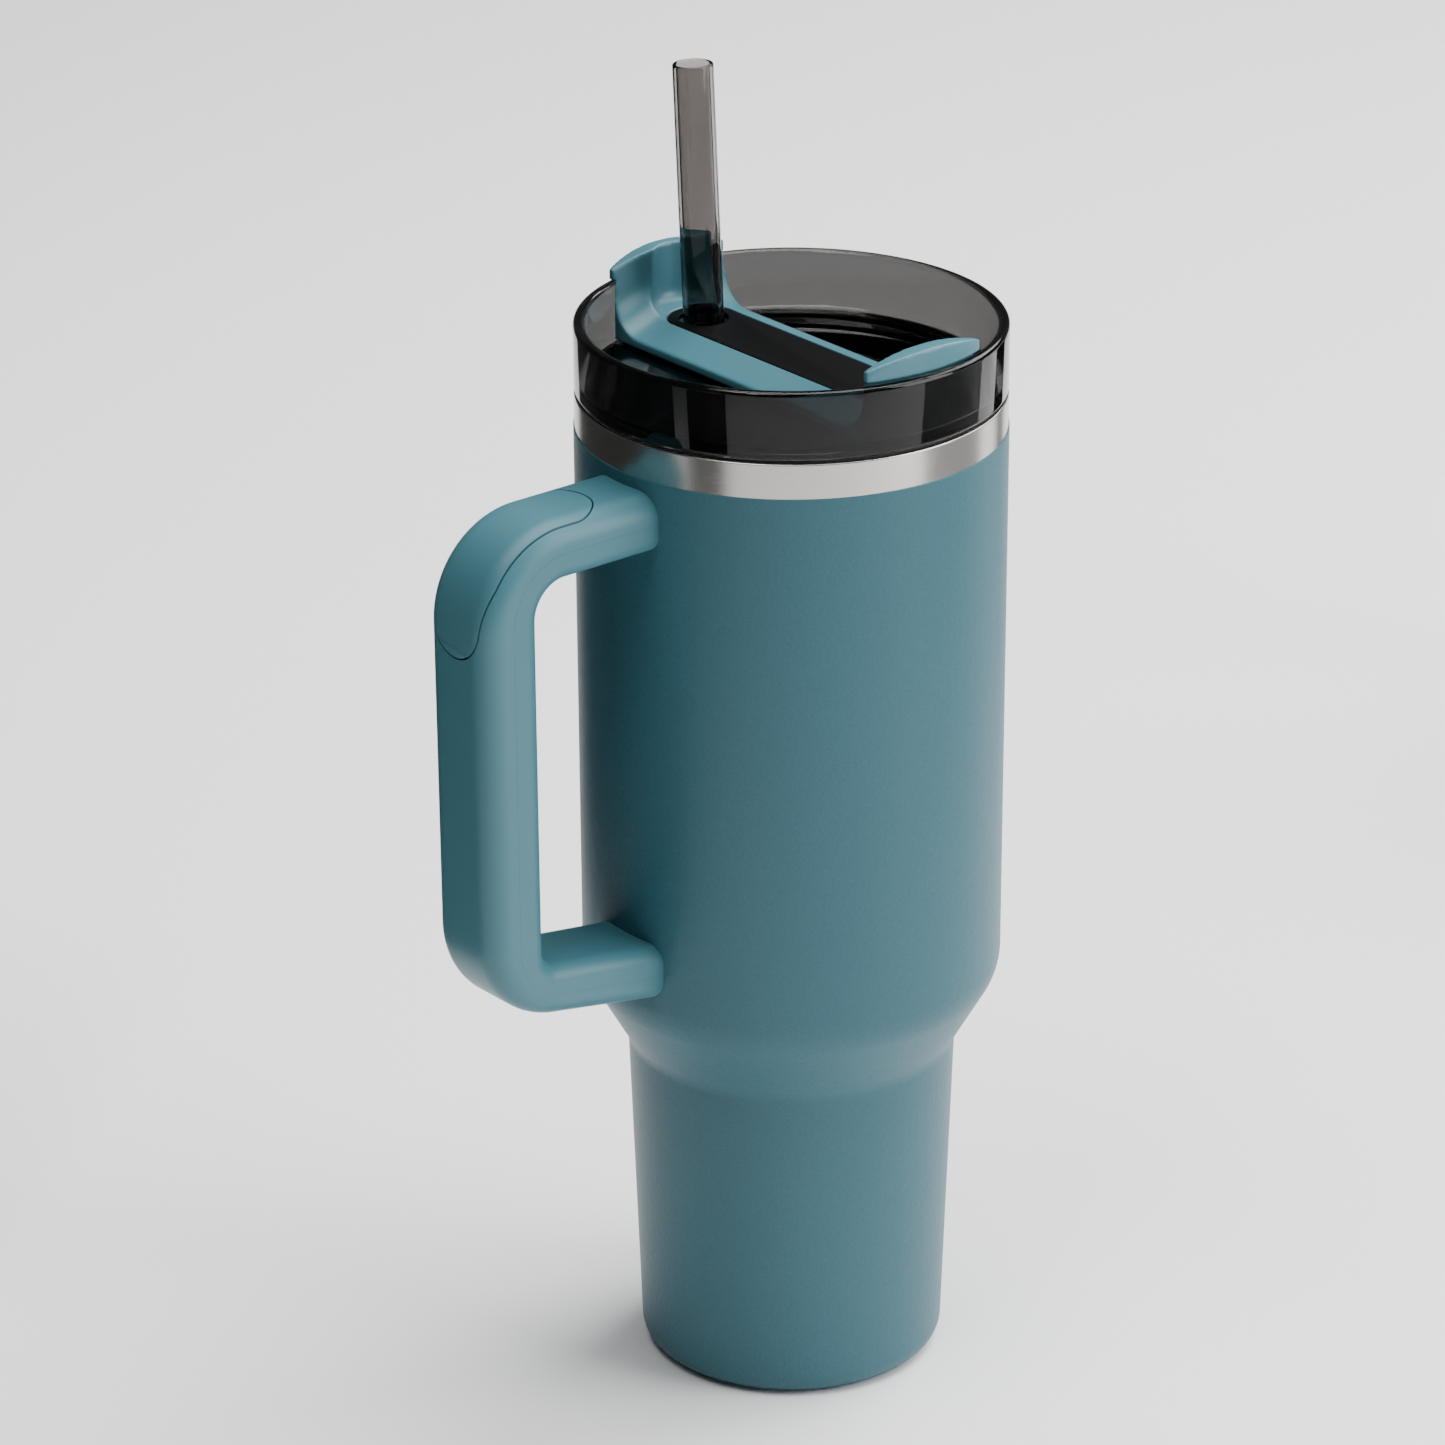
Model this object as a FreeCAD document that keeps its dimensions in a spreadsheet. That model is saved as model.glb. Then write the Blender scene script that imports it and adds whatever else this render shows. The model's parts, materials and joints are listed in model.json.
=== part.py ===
"""Handled, double-walled steel tumbler with a screw lid, a rotating cover and a straw.

Millimetres. The cup's axis is Z and its base stands on Z = 0. The handle reaches
along -X and the straw end of the cover points along +Y.
"""
import FreeCAD, Part
import math
import os
import re

import Sketcher

# Driving dimensions.
SIZES = {
    # cup, radii of the outer steel surface
    "rim_z": 239.8, "band_deep": 8.1, "shoulder_z": 98.7, "step_z": 80.4,
    "cup_r": 48.95, "cup_taper": 0.4, "step_in": 10.85, "foot_in": 2.85,
    "shoulder_round": 15.25, "step_round": 8.0, "base_round": 4.9,
    "shell_t": 0.7, "gap_t": 2.45, "liner_t": 0.6, "coat_t": 0.25,
    "mouth_depth": 3.1, "floor_z": 9.0, "floor_round": 6.0,
    # base pieces
    "hole_in": 9.25, "cover_disc_t": 0.6, "closure_t": 0.7, "closure_lap": 1.5,
    "closure_lift": 2.2, "closure_in": 7.0, "port_r": 1.4, "bead_r": 3.0, "bead_drop": 1.2,
    "bead_slope": 0.6, "getter_r": 5.0, "getter_t": 2.0, "getter_x": 10.0,
    # thread of the lid in the cup's neck
    "thread_lead": 10.0, "thread_starts": 2.0, "thread_turns": 0.9, "thread_root": 2.2,
    "thread_tip": 1.2, "cup_thread_rise": 1.0, "lid_thread_rise": 1.15, "thread_set": 0.5,
    "thread_low": 1.4, "thread_tip_gap": 0.35,
    # lid
    "lid_gap": 0.5, "ring_out": 0.05, "ring_t": 2.6, "ring_wide": 16.1, "deck_t": 2.3,
    "ring_round": 1.0, "skirt_t": 2.2, "skirt_deep": 18.3,
    "gasket_t": 3.2, "gasket_play": 0.1, "gasket_mouth_play": 0.45, "gasket_bead": 0.4,
    "gasket_step": 1.0,
    # drink opening
    "port_in": 15.1, "slot_half": 6.0, "slot_swing": 16.0, "seal_lap": 1.4,
    # rotating cover
    "cover_half": 16.4, "strip_half": 8.4, "cover_gap": 0.4, "cover_t": 5.0, "edge_t": 2.0,
    "side_gap": 0.3, "tab_t": 4.1, "tab_lean": 1.5, "tab_round": 8.0, "tab_out": 1.7,
    "lip_gap": 0.6, "lip_rise": 5.3, "lip_drop": 2.6, "scoop_r": 8.6, "scoop_shift": 5.0,
    "insert_t": 1.2, "insert_play": 0.1, "seal_t": 1.5, "seal_gap": 0.1,
    # pivot of the cover
    "pivot_r": 5.0, "pivot_play": 0.06, "washer_r": 9.0, "washer_t": 1.2, "washer_play": 0.15,
    "pivot_end_play": 0.3, "pivot_screw_r": 1.5, "pivot_screw_head_r": 3.2,
    "pivot_screw_head_t": 2.0, "pivot_screw_deep": 5.6, "pivot_screw_fit": 0.05,
    "pivot_screw_gap": 0.5, "drive_half": 2.4, "drive_wide": 0.4, "drive_deep": 0.9,
    "hub_seal_w": 3.2,
    # straw
    "straw_r": 4.7, "straw_t": 1.0, "straw_lean": 3.2, "straw_out": 67.7, "straw_lift": 5.0,
    "straw_hole_play": 1.0, "straw_fit": 0.08,
    # handle
    "handle_w": 22.5, "handle_edge": 6.2, "handle_wall": 2.4, "handle_split": 0.1,
    "arm_down": 10.9, "arm_t": 13.7, "grip_reach": 47.35, "grip_t": 15.6, "grip_taper": 0.6,
    "arm_lift": 6.4, "low_arm_t": 13.9, "low_rise": 0.185, "low_fall": 0.04,
    "outer_round": 23.0, "inner_round": 8.0, "low_inner_round": 4.0, "handle_seat": 0.1,
    "handle_root": 8.0, "pad_t": 1.6, "pad_in": 2.25, "pad_low_half": 7.7, "pad_reach": 11.05,
    "pad_wide_drop": 11.6, "pad_drop": 28.9, "pad_groove": 0.25,
    # handle brackets and screws
    "saddle_half": 7.5, "saddle_t": 1.2, "saddle_tall": 7.6, "tongue_t": 2.0, "tongue_half": 6.5,
    "tongue_reach": 20.05, "screw_reach": 7.55, "screw_step": 8.0, "screw_r": 1.4,
    "boss_r": 3.2, "screw_head_r": 2.6, "screw_head_t": 1.8, "screw_sink": 1.2,
    "screw_play": 0.15, "trim": 20.0,
}

# Sizes that follow from the driving ones.
FOLLOWING = {
    "band_z": "rim_z - band_deep",
    "shoulder_r": "cup_r - cup_taper",
    "step_r": "cup_r - step_in",
    "base_r": "step_r - foot_in",
    "base_hole_r": "base_r - hole_in",
    "closure_flat_r": "base_hole_r - closure_in",
    "ring_r": "cup_r + ring_out",
    "skirt_r": "cup_r - shell_t - gap_t - liner_t - thread_tip_gap - lid_thread_rise",
    "port_path_r": "ring_r - ring_t - side_gap - port_in",
    "tab_face": "ring_r - ring_t - side_gap - tab_t",
    "straw_hole_r": "straw_r + straw_hole_play",
    "straw_top": "rim_z + straw_out",
    "straw_low": "floor_z + straw_lift",
    "arm_top": "rim_z - arm_down",
    "low_arm_z": "shoulder_z + arm_lift",
    "grip_out": "cup_r + grip_reach",
    "pad_half": "handle_w / 2 - pad_in",
    "pad_start": "cup_r + pad_reach",
    "pad_low": "arm_top - pad_drop",
    "tongue_end": "cup_r + tongue_reach",
    "screw_one": "cup_r + screw_reach",
}
ALIASES = {**SIZES, **{alias: "=" + text for alias, text in FOLLOWING.items()}}

FLANGE_Z = "rim_z + lid_gap"
DECK_Z = "rim_z + lid_gap + deck_t"
RING_TOP = "rim_z + lid_gap + ring_wide"
WALL = "(shell_t + gap_t + liner_t)"
NECK_R = "(cup_r - shell_t - gap_t - liner_t)"
MOUTH_R = "(cup_r - shell_t - liner_t)"
LEDGE_Z = "(rim_z - mouth_depth)"
# a wall offset inwards by WALL turns its corners this much higher
CORNER_RISE = "tan(atan((shoulder_r - step_r) / (shoulder_z - step_z)) / 2)"
COVER_LOW = "(rim_z + lid_gap + deck_t + cover_gap)"
COVER_TOP = "(rim_z + lid_gap + deck_t + cover_gap + cover_t)"
COVER_R = "(ring_r - ring_t - side_gap)"
LIP_Z = "(rim_z + lid_gap + ring_wide + lip_gap)"
LID_THREAD_Z = "(rim_z + lid_gap - skirt_deep + thread_low)"

doc = FreeCAD.newDocument("tumbler")
sheet = doc.addObject("Spreadsheet::Sheet", "Sizes")
for row, alias in enumerate(ALIASES, start=1):
    sheet.set("A%d" % row, alias)
    sheet.setAlias("B%d" % row, alias)
for row, number in enumerate(ALIASES.values(), start=1):
    sheet.set("B%d" % row, str(number))
doc.recompute()


def value(text):
    """The number that an expression over the sheet's aliases comes to now."""
    result = sheet.evalExpression(str(text))
    return float(getattr(result, "Value", result))


def bound(text):
    """The same expression as another object must write it."""
    return re.sub(r"[a-z_]+", lambda word: "Sizes." + word.group(0)
                  if word.group(0) in ALIASES else word.group(0), str(text))


def bind(thing, **sizes):
    """Tie properties of an object to expressions."""
    for name, text in sizes.items():
        thing.setExpression(name, bound(text))


def origin_plane(body, role):
    """One of a body's own origin planes."""
    return next(item for item in body.Origin.OriginFeatures if item.Role == role)


def new_body(label):
    """An empty PartDesign body."""
    body = doc.addObject("PartDesign::Body", label)
    body.Label = label
    return body


def sketch_on(body, name, role, offset=None):
    """A sketch on one of the body's origin planes, moved along its normal."""
    sketch = body.newObject("Sketcher::SketchObject", name)
    sketch.AttachmentSupport = [(origin_plane(body, role), "")]
    sketch.MapMode = "FlatFace"
    if offset is not None:
        bind(sketch, **{"AttachmentOffset.Base.z": offset})
    return sketch


def arc_between(start, end, radius, side):
    """The short arc between two points; side is +1 for a centre left of the chord."""
    chord = end - start
    lift = math.sqrt(max(radius ** 2 - (chord.Length / 2) ** 2, 0.0))
    left = FreeCAD.Vector(-chord.y, chord.x, 0).normalize()
    centre = (start + end) * 0.5 + left * (lift * side)
    first, last = (start, end) if side > 0 else (end, start)
    turn = [math.atan2(spot.y - centre.y, spot.x - centre.x) for spot in (first, last)]
    if turn[1] < turn[0]:
        turn[1] += 2 * math.pi
    return Part.ArcOfCircle(Part.Circle(centre, FreeCAD.Vector(0, 0, 1), radius), *turn)


def tie_point(sketch, edge, point, across, up):
    """Ties one end or centre of an edge to the sheet."""
    for kind, text in (("DistanceX", across), ("DistanceY", up)):
        index = sketch.addConstraint(Sketcher.Constraint(kind, -1, 1, edge, point, value(text)))
        sketch.setExpression("Constraints[%d]" % index, bound(text))


def tie_radius(sketch, edge, radius):
    """Ties the radius of an arc or a circle to the sheet."""
    index = sketch.addConstraint(Sketcher.Constraint("Radius", edge, value(radius)))
    sketch.setExpression("Constraints[%d]" % index, bound(radius))


def outline(sketch, corners):
    """A closed outline whose corners, and arc radii, are tied to the sheet.

    A corner is (across, up) or (across, up, radius, side): the edge that leaves it is then an arc.
    """
    places = [FreeCAD.Vector(value(item[0]), value(item[1]), 0) for item in corners]
    edges = []
    for number, item in enumerate(corners):
        start, end = places[number], places[(number + 1) % len(places)]
        if len(item) == 4:
            edge = sketch.addGeometry(arc_between(start, end, value(item[2]), item[3]), False)
            edges.append((edge, (1, 2) if item[3] > 0 else (2, 1)))
        else:
            edges.append((sketch.addGeometry(Part.LineSegment(start, end), False), (1, 2)))
    for number, (edge, ends) in enumerate(edges):
        after, after_ends = edges[(number + 1) % len(edges)]
        sketch.addConstraint(Sketcher.Constraint("Coincident", edge, ends[1], after, after_ends[0]))
    for item, (edge, ends) in zip(corners, edges):
        tie_point(sketch, edge, ends[0], item[0], item[1])
        if len(item) == 4:
            tie_radius(sketch, edge, item[2])
    return sketch


def circle(sketch, across, up, radius):
    """A circle tied to the sheet by its centre and radius."""
    centre = FreeCAD.Vector(value(across), value(up), 0)
    edge = sketch.addGeometry(Part.Circle(centre, FreeCAD.Vector(0, 0, 1), value(radius)), False)
    tie_point(sketch, edge, 3, across, up)
    tie_radius(sketch, edge, radius)
    return sketch


def turned(body, name, corners, cut=False):
    """A revolved outline of (radius, height) corners, added to the body or cut from it."""
    sketch = outline(sketch_on(body, name + "_outline", "XZ_Plane"), corners)
    kind = "PartDesign::Groove" if cut else "PartDesign::Revolution"
    feature = body.newObject(kind, name)
    feature.Profile = sketch
    feature.ReferenceAxis = (sketch, ["V_Axis"])
    feature.Angle = 360
    doc.recompute()
    return feature


def padded(body, name, sketch, length, both_ways=False, reverse=False, cut=False):
    """A pad or a pocket of a sketch, with its length tied to the sheet."""
    feature = body.newObject("PartDesign::Pocket" if cut else "PartDesign::Pad", name)
    feature.Profile = sketch
    feature.SideType = "Symmetric" if both_ways else "One side"
    feature.Reversed = reverse
    bind(feature, Length=length)
    doc.recompute()
    return feature


def edges_at(shape, spots, tolerance=0.05):
    """Names of the edges that pass through each of the given points."""
    names = []
    for spot in spots:
        dot = Part.Vertex(spot)
        for number, edge in enumerate(shape.Edges, start=1):
            if edge.distToShape(dot)[0] < tolerance:
                names.append("Edge%d" % number)
    return sorted(set(names))


def rounded(body, name, spots, radius):
    """A fillet on the edges through some points of the body's last feature."""
    base = body.Tip
    names = edges_at(base.Shape, spots)
    if not names:
        raise ValueError("no edge found for " + name)
    feature = body.newObject("PartDesign::Fillet", name)
    feature.Base = (base, names)
    bind(feature, Radius=radius)
    doc.recompute()
    return feature


def ring_spot(radius, height):
    """A point on a turned edge, away from the seam."""
    return FreeCAD.Vector(0, value(radius), value(height))


def tube_round(body, name, radius, height, size):
    """A fillet on one turned edge."""
    return rounded(body, name, [ring_spot(radius, height)], size)


def helix_ridge(body, name, corners, reverse_axis=False):
    """A ridge swept along the thread's helix, repeated for each start."""
    sketch = outline(sketch_on(body, name + "_outline", "XZ_Plane"), corners)
    ridge = body.newObject("PartDesign::AdditiveHelix", name)
    ridge.Profile = sketch
    ridge.ReferenceAxis = (sketch, ["V_Axis"])
    ridge.Mode = "pitch-turns-angle"
    bind(ridge, Pitch="thread_lead", Turns="thread_turns")
    starts = body.newObject("PartDesign::PolarPattern", name + "_starts")
    starts.Originals = [ridge]
    starts.Axis = (sketch, ["V_Axis"])
    starts.Angle = 360
    starts.Occurrences = int(value("thread_starts"))
    body.Tip = starts
    doc.recompute()
    return starts


def primitive(kind, name, **sizes):
    """A Part primitive with its sizes tied to the sheet."""
    solid = doc.addObject("Part::" + kind, name)
    bind(solid, **sizes)
    return solid


def shift(thing, x="0", y="0", z="0"):
    """Tie an object's place to the sheet."""
    bind(thing, **{"Placement.Base.x": x, "Placement.Base.y": y, "Placement.Base.z": z})
    return thing


def boolean(kind, label, base, tool):
    """Part::Cut or Part::Common of two objects."""
    result = doc.addObject("Part::" + kind, label)
    result.Label = label
    result.Base, result.Tool = base, tool
    doc.recompute()
    return result


def joined(label, pieces):
    """Part::MultiFuse of several objects."""
    result = doc.addObject("Part::MultiFuse", label)
    result.Label = label
    result.Shapes = pieces
    doc.recompute()
    return result


# ---------------------------------------------------------------- cup

def outer_shell():
    """Spun steel outer wall with its foot turned in to take the base pieces."""
    body = new_body("outer_shell")
    turned(body, "shell_wall", [
        ("base_hole_r", "0"), ("base_r", "0"), ("step_r", "step_z"), ("shoulder_r", "shoulder_z"),
        ("cup_r", "rim_z"), ("cup_r - shell_t", "rim_z"), ("shoulder_r - shell_t", "shoulder_z"),
        ("step_r - shell_t", "step_z"), ("base_r - shell_t", "shell_t"), ("base_hole_r", "shell_t")])
    tube_round(body, "shoulder_outside", "shoulder_r", "shoulder_z", "shoulder_round")
    tube_round(body, "shoulder_inside", "shoulder_r - shell_t", "shoulder_z",
               "shoulder_round - shell_t")
    tube_round(body, "step_outside", "step_r", "step_z", "step_round")
    tube_round(body, "step_inside", "step_r - shell_t", "step_z", "step_round + shell_t")
    tube_round(body, "foot_outside", "base_r", "0", "base_round")
    tube_round(body, "foot_inside", "base_r - shell_t", "shell_t", "base_round - shell_t")
    return body


def wall_at(height, height_low, radius_low, height_high, radius_high):
    """Radius of a straight stretch of the wall at a height, as an expression."""
    share = "((%s) - (%s)) / ((%s) - (%s))" % (height, height_low, height_high, height_low)
    return "(%s) + ((%s) - (%s)) * %s" % (radius_low, radius_high, radius_low, share)


def powder_coat():
    """The coloured skin on the outer wall, which stops short of the bare band at the mouth."""
    body = new_body("powder_coat")
    foot_z = "base_round + shell_t"
    foot_r = wall_at(foot_z, "0", "base_r", "step_z", "step_r")
    band_r = wall_at("band_z", "shoulder_z", "shoulder_r", "rim_z", "cup_r")
    turned(body, "coat", [
        (foot_r, foot_z), (foot_r + " + coat_t", foot_z), ("step_r + coat_t", "step_z"),
        ("shoulder_r + coat_t", "shoulder_z"), (band_r + " + coat_t", "band_z"), (band_r, "band_z"),
        ("shoulder_r", "shoulder_z"), ("step_r", "step_z")])
    tube_round(body, "coat_shoulder_outside", "shoulder_r + coat_t", "shoulder_z",
               "shoulder_round + coat_t")
    tube_round(body, "coat_shoulder_inside", "shoulder_r", "shoulder_z", "shoulder_round")
    tube_round(body, "coat_step_outside", "step_r + coat_t", "step_z", "step_round - coat_t")
    tube_round(body, "coat_step_inside", "step_r", "step_z", "step_round")
    return body


def liner_points():
    """Inside corners of the liner, from the floor's edge up to the ledge."""
    return [("base_r - " + WALL, "floor_z"),
            ("step_r - " + WALL, "step_z + %s * %s" % (WALL, CORNER_RISE)),
            ("shoulder_r - " + WALL, "shoulder_z + %s * %s" % (WALL, CORNER_RISE)),
            (NECK_R, LEDGE_Z)]


def inner_liner():
    """Steel liner welded to the outer wall at the mouth, with the lid's thread in its neck."""
    body = new_body("inner_liner")
    floor, step, shoulder, ledge = liner_points()
    weld_r = wall_at(LEDGE_Z + " - liner_t", "shoulder_z", "shoulder_r - shell_t", "rim_z",
                     "cup_r - shell_t")
    turned(body, "liner_wall", [
        ("0", "floor_z - liner_t"), (floor[0] + " + liner_t", "floor_z - liner_t"),
        (step[0] + " + liner_t", step[1]), (shoulder[0] + " + liner_t", shoulder[1]),
        (NECK_R + " + liner_t", LEDGE_Z + " - liner_t"),
        (weld_r, LEDGE_Z + " - liner_t"), (MOUTH_R + " + liner_t", "rim_z"),
        (MOUTH_R, "rim_z"), (MOUTH_R, LEDGE_Z), ledge, shoulder, step, floor, ("0", "floor_z")])
    tube_round(body, "liner_floor", floor[0], floor[1], "floor_round")
    tube_round(body, "liner_floor_outside", floor[0] + " + liner_t", "floor_z - liner_t",
               "floor_round + liner_t")
    tube_round(body, "liner_shoulder", shoulder[0], shoulder[1], "shoulder_round - " + WALL)
    tube_round(body, "liner_shoulder_outside", shoulder[0] + " + liner_t", shoulder[1],
               "shoulder_round - %s + liner_t" % WALL)
    tube_round(body, "liner_step", step[0], step[1], "step_round")
    tube_round(body, "liner_step_outside", step[0] + " + liner_t", step[1], "step_round")
    start = LID_THREAD_Z + " + thread_lead / thread_starts / 2 - thread_set"
    tip_lift = "(thread_root - thread_tip) / 2"
    helix_ridge(body, "neck_thread", [
        (NECK_R + " + liner_t / 2", start), (NECK_R, start),
        (NECK_R + " - cup_thread_rise", "%s + %s" % (start, tip_lift)),
        (NECK_R + " - cup_thread_rise", "%s + %s + thread_tip" % (start, tip_lift)),
        (NECK_R, start + " + thread_root"), (NECK_R + " + liner_t / 2", start + " + thread_root")])
    return body


def base_pieces():
    """Evacuated inner closure, its seal bead and getter, and the plain disc that covers them."""
    lap_r = "base_hole_r + closure_lap"
    lifted = "shell_t + closure_lift"
    closure = new_body("base_closure")
    turned(closure, "closure", [
        ("port_r", lifted), ("closure_flat_r", lifted), ("closure_flat_r", "shell_t"),
        (lap_r, "shell_t"), (lap_r, "shell_t + closure_t"),
        ("closure_flat_r + closure_t", "shell_t + closure_t"),
        ("closure_flat_r + closure_t", lifted + " + closure_t"),
        ("port_r", lifted + " + closure_t")])
    bead = new_body("seal_bead")
    turned(bead, "bead", [
        ("0", lifted + " - bead_drop"), ("bead_r - bead_slope", lifted + " - bead_drop"),
        ("bead_r", lifted + " - bead_drop / 2"), ("bead_r", lifted), ("port_r", lifted),
        ("port_r", lifted + " + closure_t"), ("0", lifted + " + closure_t")])
    getter = primitive("Cylinder", "getter_pill", Radius="getter_r", Height="getter_t")
    getter.Label = "getter_pill"
    shift(getter, x="getter_x", z=lifted + " + closure_t")
    disc = new_body("base_cover")
    turned(disc, "disc", [("0", "0"), ("base_hole_r - coat_t", "0"),
                          ("base_hole_r - coat_t", "cover_disc_t"), ("0", "cover_disc_t")])
    return [closure, bead, getter, disc]


# ---------------------------------------------------------------- handle

GRIP_IN = "(grip_out - grip_t)"
GRIP_MID = "(grip_out - grip_t / 2)"
ARM_MID = "(arm_top - arm_t / 2)"
COAT_R = "(cup_r + coat_t)"


def low_line(rho, start, rise):
    """Height of a straight line of the lower arm at a distance from the axis."""
    return "(%s) + (%s) * ((%s) - %s)" % (start, rise, rho, COAT_R)


def handle_corners(inset):
    """Outer corners of the handle's side view, moved inwards by an inset."""
    out, low = "grip_out - (%s)" % inset, "grip_out - grip_taper - (%s)" % inset
    bottom = low_line(low, "low_arm_z + (%s)" % inset, "low_rise")
    return ("arm_top - (%s)" % inset, out, low, bottom)


def middle_corners(gap):
    """Corners of the handle's parting line; a positive gap moves them outwards."""
    out, low = GRIP_MID + " + (%s)" % gap, GRIP_MID + " - grip_taper / 2 + (%s)" % gap
    bottom = low_line(low, "low_arm_z + low_arm_t / 2 - (%s)" % gap, "low_rise - low_fall / 2")
    return (ARM_MID + " + (%s)" % gap, out, low, bottom)


def inner_corners(inset):
    """Finger-side corners of the handle's side view, moved inwards by an inset."""
    out, low = GRIP_IN + " + (%s)" % inset, GRIP_IN + " - grip_taper / 2 + (%s)" % inset
    bottom = low_line(low, "low_arm_z + low_arm_t - (%s)" % inset, "low_rise - low_fall")
    return ("arm_top - arm_t + (%s)" % inset, out, low, bottom)


ROOT_X = "cup_r - handle_root"


def c_outline(body, name, outside, inside, low_outside, low_inside):
    """Side view of one C-shaped half, between two sets of corners, on the XZ plane."""
    top, out, low, bottom = outside
    top_in, out_in, low_in, bottom_in = inside
    corners = [(ROOT_X, top), (out, top), (low, bottom),
               (ROOT_X, low_line(ROOT_X, *low_outside)),
               (ROOT_X, low_line(ROOT_X, *low_inside)), (low_in, bottom_in), (out_in, top_in),
               (ROOT_X, top_in)]
    sketch = sketch_on(body, name, "XZ_Plane")
    return outline(sketch, [("-(%s)" % across, up) for across, up in corners])


def side_spot(rho, height, y="0"):
    """A point of the handle's side view."""
    return FreeCAD.Vector(-value(rho), value(y), value(height))


def c_half(body, name, outside, inside, lines, rounds, width):
    """A C-shaped bar with rounded corners, between two sets of corners."""
    sketch = c_outline(body, name + "_side", outside, inside, *lines)
    padded(body, name, sketch, width, both_ways=True)
    for number, (corners, upper, lower) in enumerate(((outside, rounds[0], rounds[1]),
                                                      (inside, rounds[2], rounds[3]))):
        rounded(body, "%s_upper_%d" % (name, number), [side_spot(corners[1], corners[0])], upper)
        rounded(body, "%s_lower_%d" % (name, number), [side_spot(corners[2], corners[3])], lower)


def outer_lines(inset, gap):
    """Lower-arm lines that bound the outer half."""
    return (("low_arm_z + (%s)" % inset, "low_rise"),
            ("low_arm_z + low_arm_t / 2 - (%s)" % gap, "low_rise - low_fall / 2"))


def inner_lines(inset, gap):
    """Lower-arm lines that bound the inner half."""
    return (("low_arm_z + low_arm_t / 2 - (%s)" % gap, "low_rise - low_fall / 2"),
            ("low_arm_z + low_arm_t - (%s)" % inset, "low_rise - low_fall"))


MID_ROUND = "(outer_round + inner_round) / 2"
MID_LOW_ROUND = "(outer_round + low_inner_round) / 2"


def outer_bar(label, inset, radius):
    """The handle's outer half as a solid bar, moved in from the surface by an inset."""
    body = new_body(label)
    width = "handle_w - 2 * (%s)" % inset
    c_half(body, label + "_bar", handle_corners(inset), middle_corners("handle_split / 2"),
           outer_lines(inset, "handle_split / 2"),
           ("outer_round - (%s)" % inset, "outer_round - (%s)" % inset, MID_ROUND, MID_LOW_ROUND),
           width)
    spots = [side_spot("(%s + %s) / 2" % (ROOT_X, GRIP_IN), "arm_top - (%s)" % inset,
                       sign + "(%s) / 2" % width) for sign in ("", "-1 * ")]
    rounded(body, label + "_edges", spots, radius)
    return body


def seat_cut(body, name):
    """Hollows a handle half to the cup's wall."""
    wall = "cup_r + coat_t + handle_seat"
    turned(body, name, [("0", "shoulder_z"), ("shoulder_r + coat_t + handle_seat", "shoulder_z"),
                        (wall, "rim_z"), ("0", "rim_z")], cut=True)


def screw_places():
    """Distances of the two screws in an arm from the cup's axis."""
    return ["screw_one", "screw_one + screw_step"]


def boss(body, name, rho, low, high):
    """A screw boss between two heights inside a hollow half."""
    sketch = circle(sketch_on(body, name + "_circle", "XY_Plane", low), "-(%s)" % rho, "0", "boss_r")
    padded(body, name, sketch, "(%s) - (%s)" % (high, low))


def bore(body, name, rho, low, high, radius):
    """A round hole between two heights."""
    sketch = circle(sketch_on(body, name + "_circle", "XY_Plane", low), "-(%s)" % rho, "0", radius)
    padded(body, name, sketch, "(%s) - (%s)" % (high, low), reverse=True, cut=True)


def low_middle(rho):
    """Height of the lower arm's parting line."""
    return low_line(rho, "low_arm_z + low_arm_t / 2", "low_rise - low_fall / 2")


def low_bottom(rho):
    """Height of the lower arm's underside."""
    return low_line(rho, "low_arm_z", "low_rise")


def handle_outer_shell():
    """Outer half of the handle: hollow, with bosses for the upper screws and a seat for the pad."""
    body = outer_bar("outer_half", "0", "handle_edge")
    cavity = c_outline(body, "outer_cavity_side", handle_corners("handle_wall"),
                       middle_corners("-1"), *outer_lines("handle_wall", "-1"))
    padded(body, "outer_cavity", cavity, "handle_w - 2 * handle_wall", both_ways=True, cut=True)
    tongue = "(tongue_t / 2 + handle_split / 2)"
    for number, rho in enumerate(screw_places()):
        boss(body, "upper_boss_%d" % number, rho, "%s + %s" % (ARM_MID, tongue),
             "arm_top - handle_wall / 2")
        bore(body, "upper_pilot_%d" % number, rho, "%s + screw_play" % ARM_MID,
             "arm_top - handle_wall", "screw_r + screw_play / 3")
        boss(body, "lower_boss_%d" % number, rho, low_bottom(rho) + " + handle_wall / 2",
             "%s - %s - boss_r * low_rise" % (low_middle(rho), tongue))
        bore(body, "lower_clear_%d" % number, rho, low_bottom(rho) + " - 2", low_middle(rho),
             "screw_r + screw_play")
        bore(body, "lower_sink_%d" % number, rho, low_bottom(rho) + " - 2",
             low_bottom(rho) + " + screw_sink + screw_head_t", "screw_head_r + screw_play")
    seat_cut(body, "outer_seat")
    return body


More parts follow.
